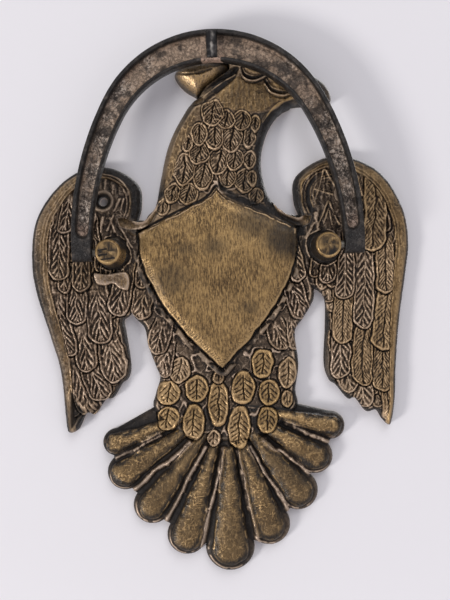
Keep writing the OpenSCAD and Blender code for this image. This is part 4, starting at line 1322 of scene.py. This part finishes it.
def make_post(side, name, marks):
    """A turned post: thread, foot, taper, rounded rim and a domed face with marks cut in it."""
    rounds = np.arange(1, FACE_RINGS) / FACE_RINGS
    face = np.column_stack([FACE_R * (1 - rounds), FACE_DEPTH + FACE_DOME * quarter(rounds)])
    profile = np.concatenate([POST_PROFILE, face])
    turns = np.arange(POST_SIDES) * 2 * math.pi / POST_SIDES
    r, depth = (np.repeat(column[:, None], POST_SIDES, 1) for column in profile.T)
    x, z = r * np.cos(turns), r * np.sin(turns)
    on_face = step01((depth - 25.5) / 0.1) * (r < 4.9)
    hammered = 0.05 * cell_noise(x.shape, 2.0)
    cut = np.zeros_like(x)
    for x0, x1, z0, z1 in marks:
        length = np.hypot(x1 - x0, z1 - z0)
        dx, dz = (x1 - x0) / length, (z1 - z0) / length
        along = (x - x0) * dx + (z - z0) * dz
        off = np.abs((x - x0) * dz - (z - z0) * dx)
        cut = np.maximum(cut, bump(off, 0.55) * (along > 0) * (along < length))
    depth = depth + on_face * (hammered - 0.05) - 0.4 * cut * (r < 5.2)
    calm = np.clip(r / 3, 0, 1)
    wear_and_highlight = 0.45 + 0.25 * cell_noise(x.shape, 3) * on_face * calm - 0.6 * cut * on_face
    # A painted reflection on the side that faces right and a little down: lighter on both posts, and clear
    # of the dark, with more polish, only on the left post
    reflection_side = bump((turns + 0.35 + math.pi) % (2 * math.pi) - math.pi, 0.8)
    wear_and_highlight += 0.25 * bump(depth - FACE_DEPTH, 0.5) * (r > 4.9) + 0.7 * reflection_side
    blotch = cell_noise(x.shape, 3.5)
    painted_reflection = reflection_side * (side < 0)
    # The side is near black: soot and painted shade, except where the left post's painted reflection lies
    darkening = step01((25.2 - depth) / 1.2) * (0.95 - 0.95 * painted_reflection + 0.05 * blotch)
    darkening += (0.7 if side > 0 else 0.15) * bump(r - 4.95, 0.35) * (depth > 25)
    darkening += on_face * (0.5 + 0.2 * blotch * calm + 0.9 * cut)
    # Painted highlights on the rim and the top of the side where they face down: to the lower left on the
    # left post, to the lower right on the right post
    highlight_facing = step01(np.cos(turns - math.radians(-125 if side < 0 else -60)) * 2.2 - 1.0)
    post_highlight = highlight_facing * step01((depth - 22) / 1.5) * (r > 5.1)
    darkening *= 1 - 0.95 * post_highlight
    wear_and_highlight += 0.6 * post_highlight
    points = np.stack([x + side * POST_X, -depth, z], -1).reshape(-1, 3)
    fields = {"wear_and_highlight": wear_and_highlight, "soot": np.clip(darkening, 0, 1), "gold": np.full_like(x, 0.9),
              "shine": np.where(depth > 25.3, 0.5, 0.2 + 1.3 * painted_reflection)}
    piece = add_mesh(name, points, loft_faces(*x.shape), fields)
    recalculate(piece.data)
    piece.data.set_sharp_from_angle(angle=math.radians(45))
    piece.data.materials.append(aged_brass())
    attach(piece, "plate")
    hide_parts("left_pivot_post" if side < 0 else "right_pivot_post")


def finish_fixings():
    """The pins, washers and nuts keep their CAD shapes."""
    finishes = {"pin": plain_metal("pin_steel", rgb(62, 58, 54), rgb(128, 122, 112), 0.8, 0.42),
                "washer": plain_metal("washer_steel", rgb(92, 90, 86), rgb(158, 156, 150), 0.85, 0.4),
                "nut": plain_metal("nut_steel", rgb(96, 94, 90), rgb(166, 164, 158), 0.85, 0.36)}
    for side in ("left", "right"):
        for node, kind in ((f"{side}_pivot_pin", "pin"), (f"{side}_post_washer", "washer"),
                           (f"{side}_post_nut", "nut")):
            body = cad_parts[node]
            for slot in range(len(body.data.materials)):
                body.data.materials[slot] = finishes[kind]


def bail_metal():
    """Charcoal rims round a rough, pinkish hollow."""
    p = Paint("bail_metal", 0.35, 0.55)
    floor, apex, braze = (p.attribute(n) for n in ("floor", "apex", "braze"))
    wide, fine, curl = p.noise(70, 4), p.noise(750, 4, rough=0.7), p.noise(240, 2, rough=0.5)
    crack = p.ramp(p.math("ABSOLUTE", p.math("SUBTRACT", curl, 0.5)), (0.0, 1.0), (0.045, 0.0))
    crack = p.math("MAXIMUM", crack, p.ramp(p.math("ABSOLUTE", p.math("SUBTRACT", p.noise(420, 2), 0.46)),
                                            (0.0, 0.95), (0.055, 0.0)))
    smooth = p.ramp(p.plus(p.times(wide, 0.7), p.times(apex, 0.3)),
                    (0.42, 0.0), (0.56, 1.0))
    crack = p.times(crack, p.math("SUBTRACT", 1.0, p.times(smooth, 0.35)))
    rough_tone = p.ramp(fine, (0.36, rgb(58, 50, 46)), (0.47, rgb(158, 141, 127)),
                        (0.62, rgb(214, 200, 186)))
    smooth_tone = p.ramp(fine, (0.3, rgb(120, 100, 84)), (0.65, rgb(180, 157, 136)))
    tone = p.mix(smooth, rough_tone, smooth_tone)
    tone = p.mix(p.ramp(p.noise(160, 4), (0.4, 0.85), (0.5, 0.0)), tone, rgb(66, 57, 51))
    tone = p.mix(p.times(braze, p.ramp(fine, (0.3, 0.5), (0.6, 1.0))), tone, rgb(182, 154, 136))
    tone = p.mix(p.times(crack, 0.95), tone, rgb(34, 29, 27))
    rim = p.ramp(p.noise(260, 6, rough=0.65), (0.35, rgb(22, 20, 20)), (0.55, rgb(43, 39, 37)),
                 (0.72, rgb(86, 78, 72)))
    inside_hollow = p.ramp(floor, (0.5, 0.0), (0.85, 1.0))
    colour = p.mix(inside_hollow, rim, tone)
    p.bump(p.math("SUBTRACT", fine, p.times(crack, 0.8)), 0.0004, 0.7)
    return p.finish(colour, p.ramp(inside_hollow, (0.0, 0.45), (1.0, 0.62)))


def striker_metal():
    """Dark metal, rubbed to grey where it strikes."""
    p = Paint("striker_metal", 0.5, 0.42)
    wear_and_highlight = p.attribute("wear_and_highlight")
    level = p.plus(p.times(wear_and_highlight, 0.7), p.times(p.noise(500, 5), 0.5))
    colour = p.ramp(level, (0.4, rgb(34, 32, 33)), (0.65, rgb(72, 68, 67)), (0.9, rgb(138, 132, 126)))
    p.bump(p.noise(800, 4), 0.0003, 0.7)
    return p.finish(colour, 0.42)


make_camera()
make_stage()
make_lights()
make_plate()
make_bail()
make_striker()
make_post(-1, "left_post", LEFT_MARKS)
make_post(1, "right_post", [])
finish_fixings()
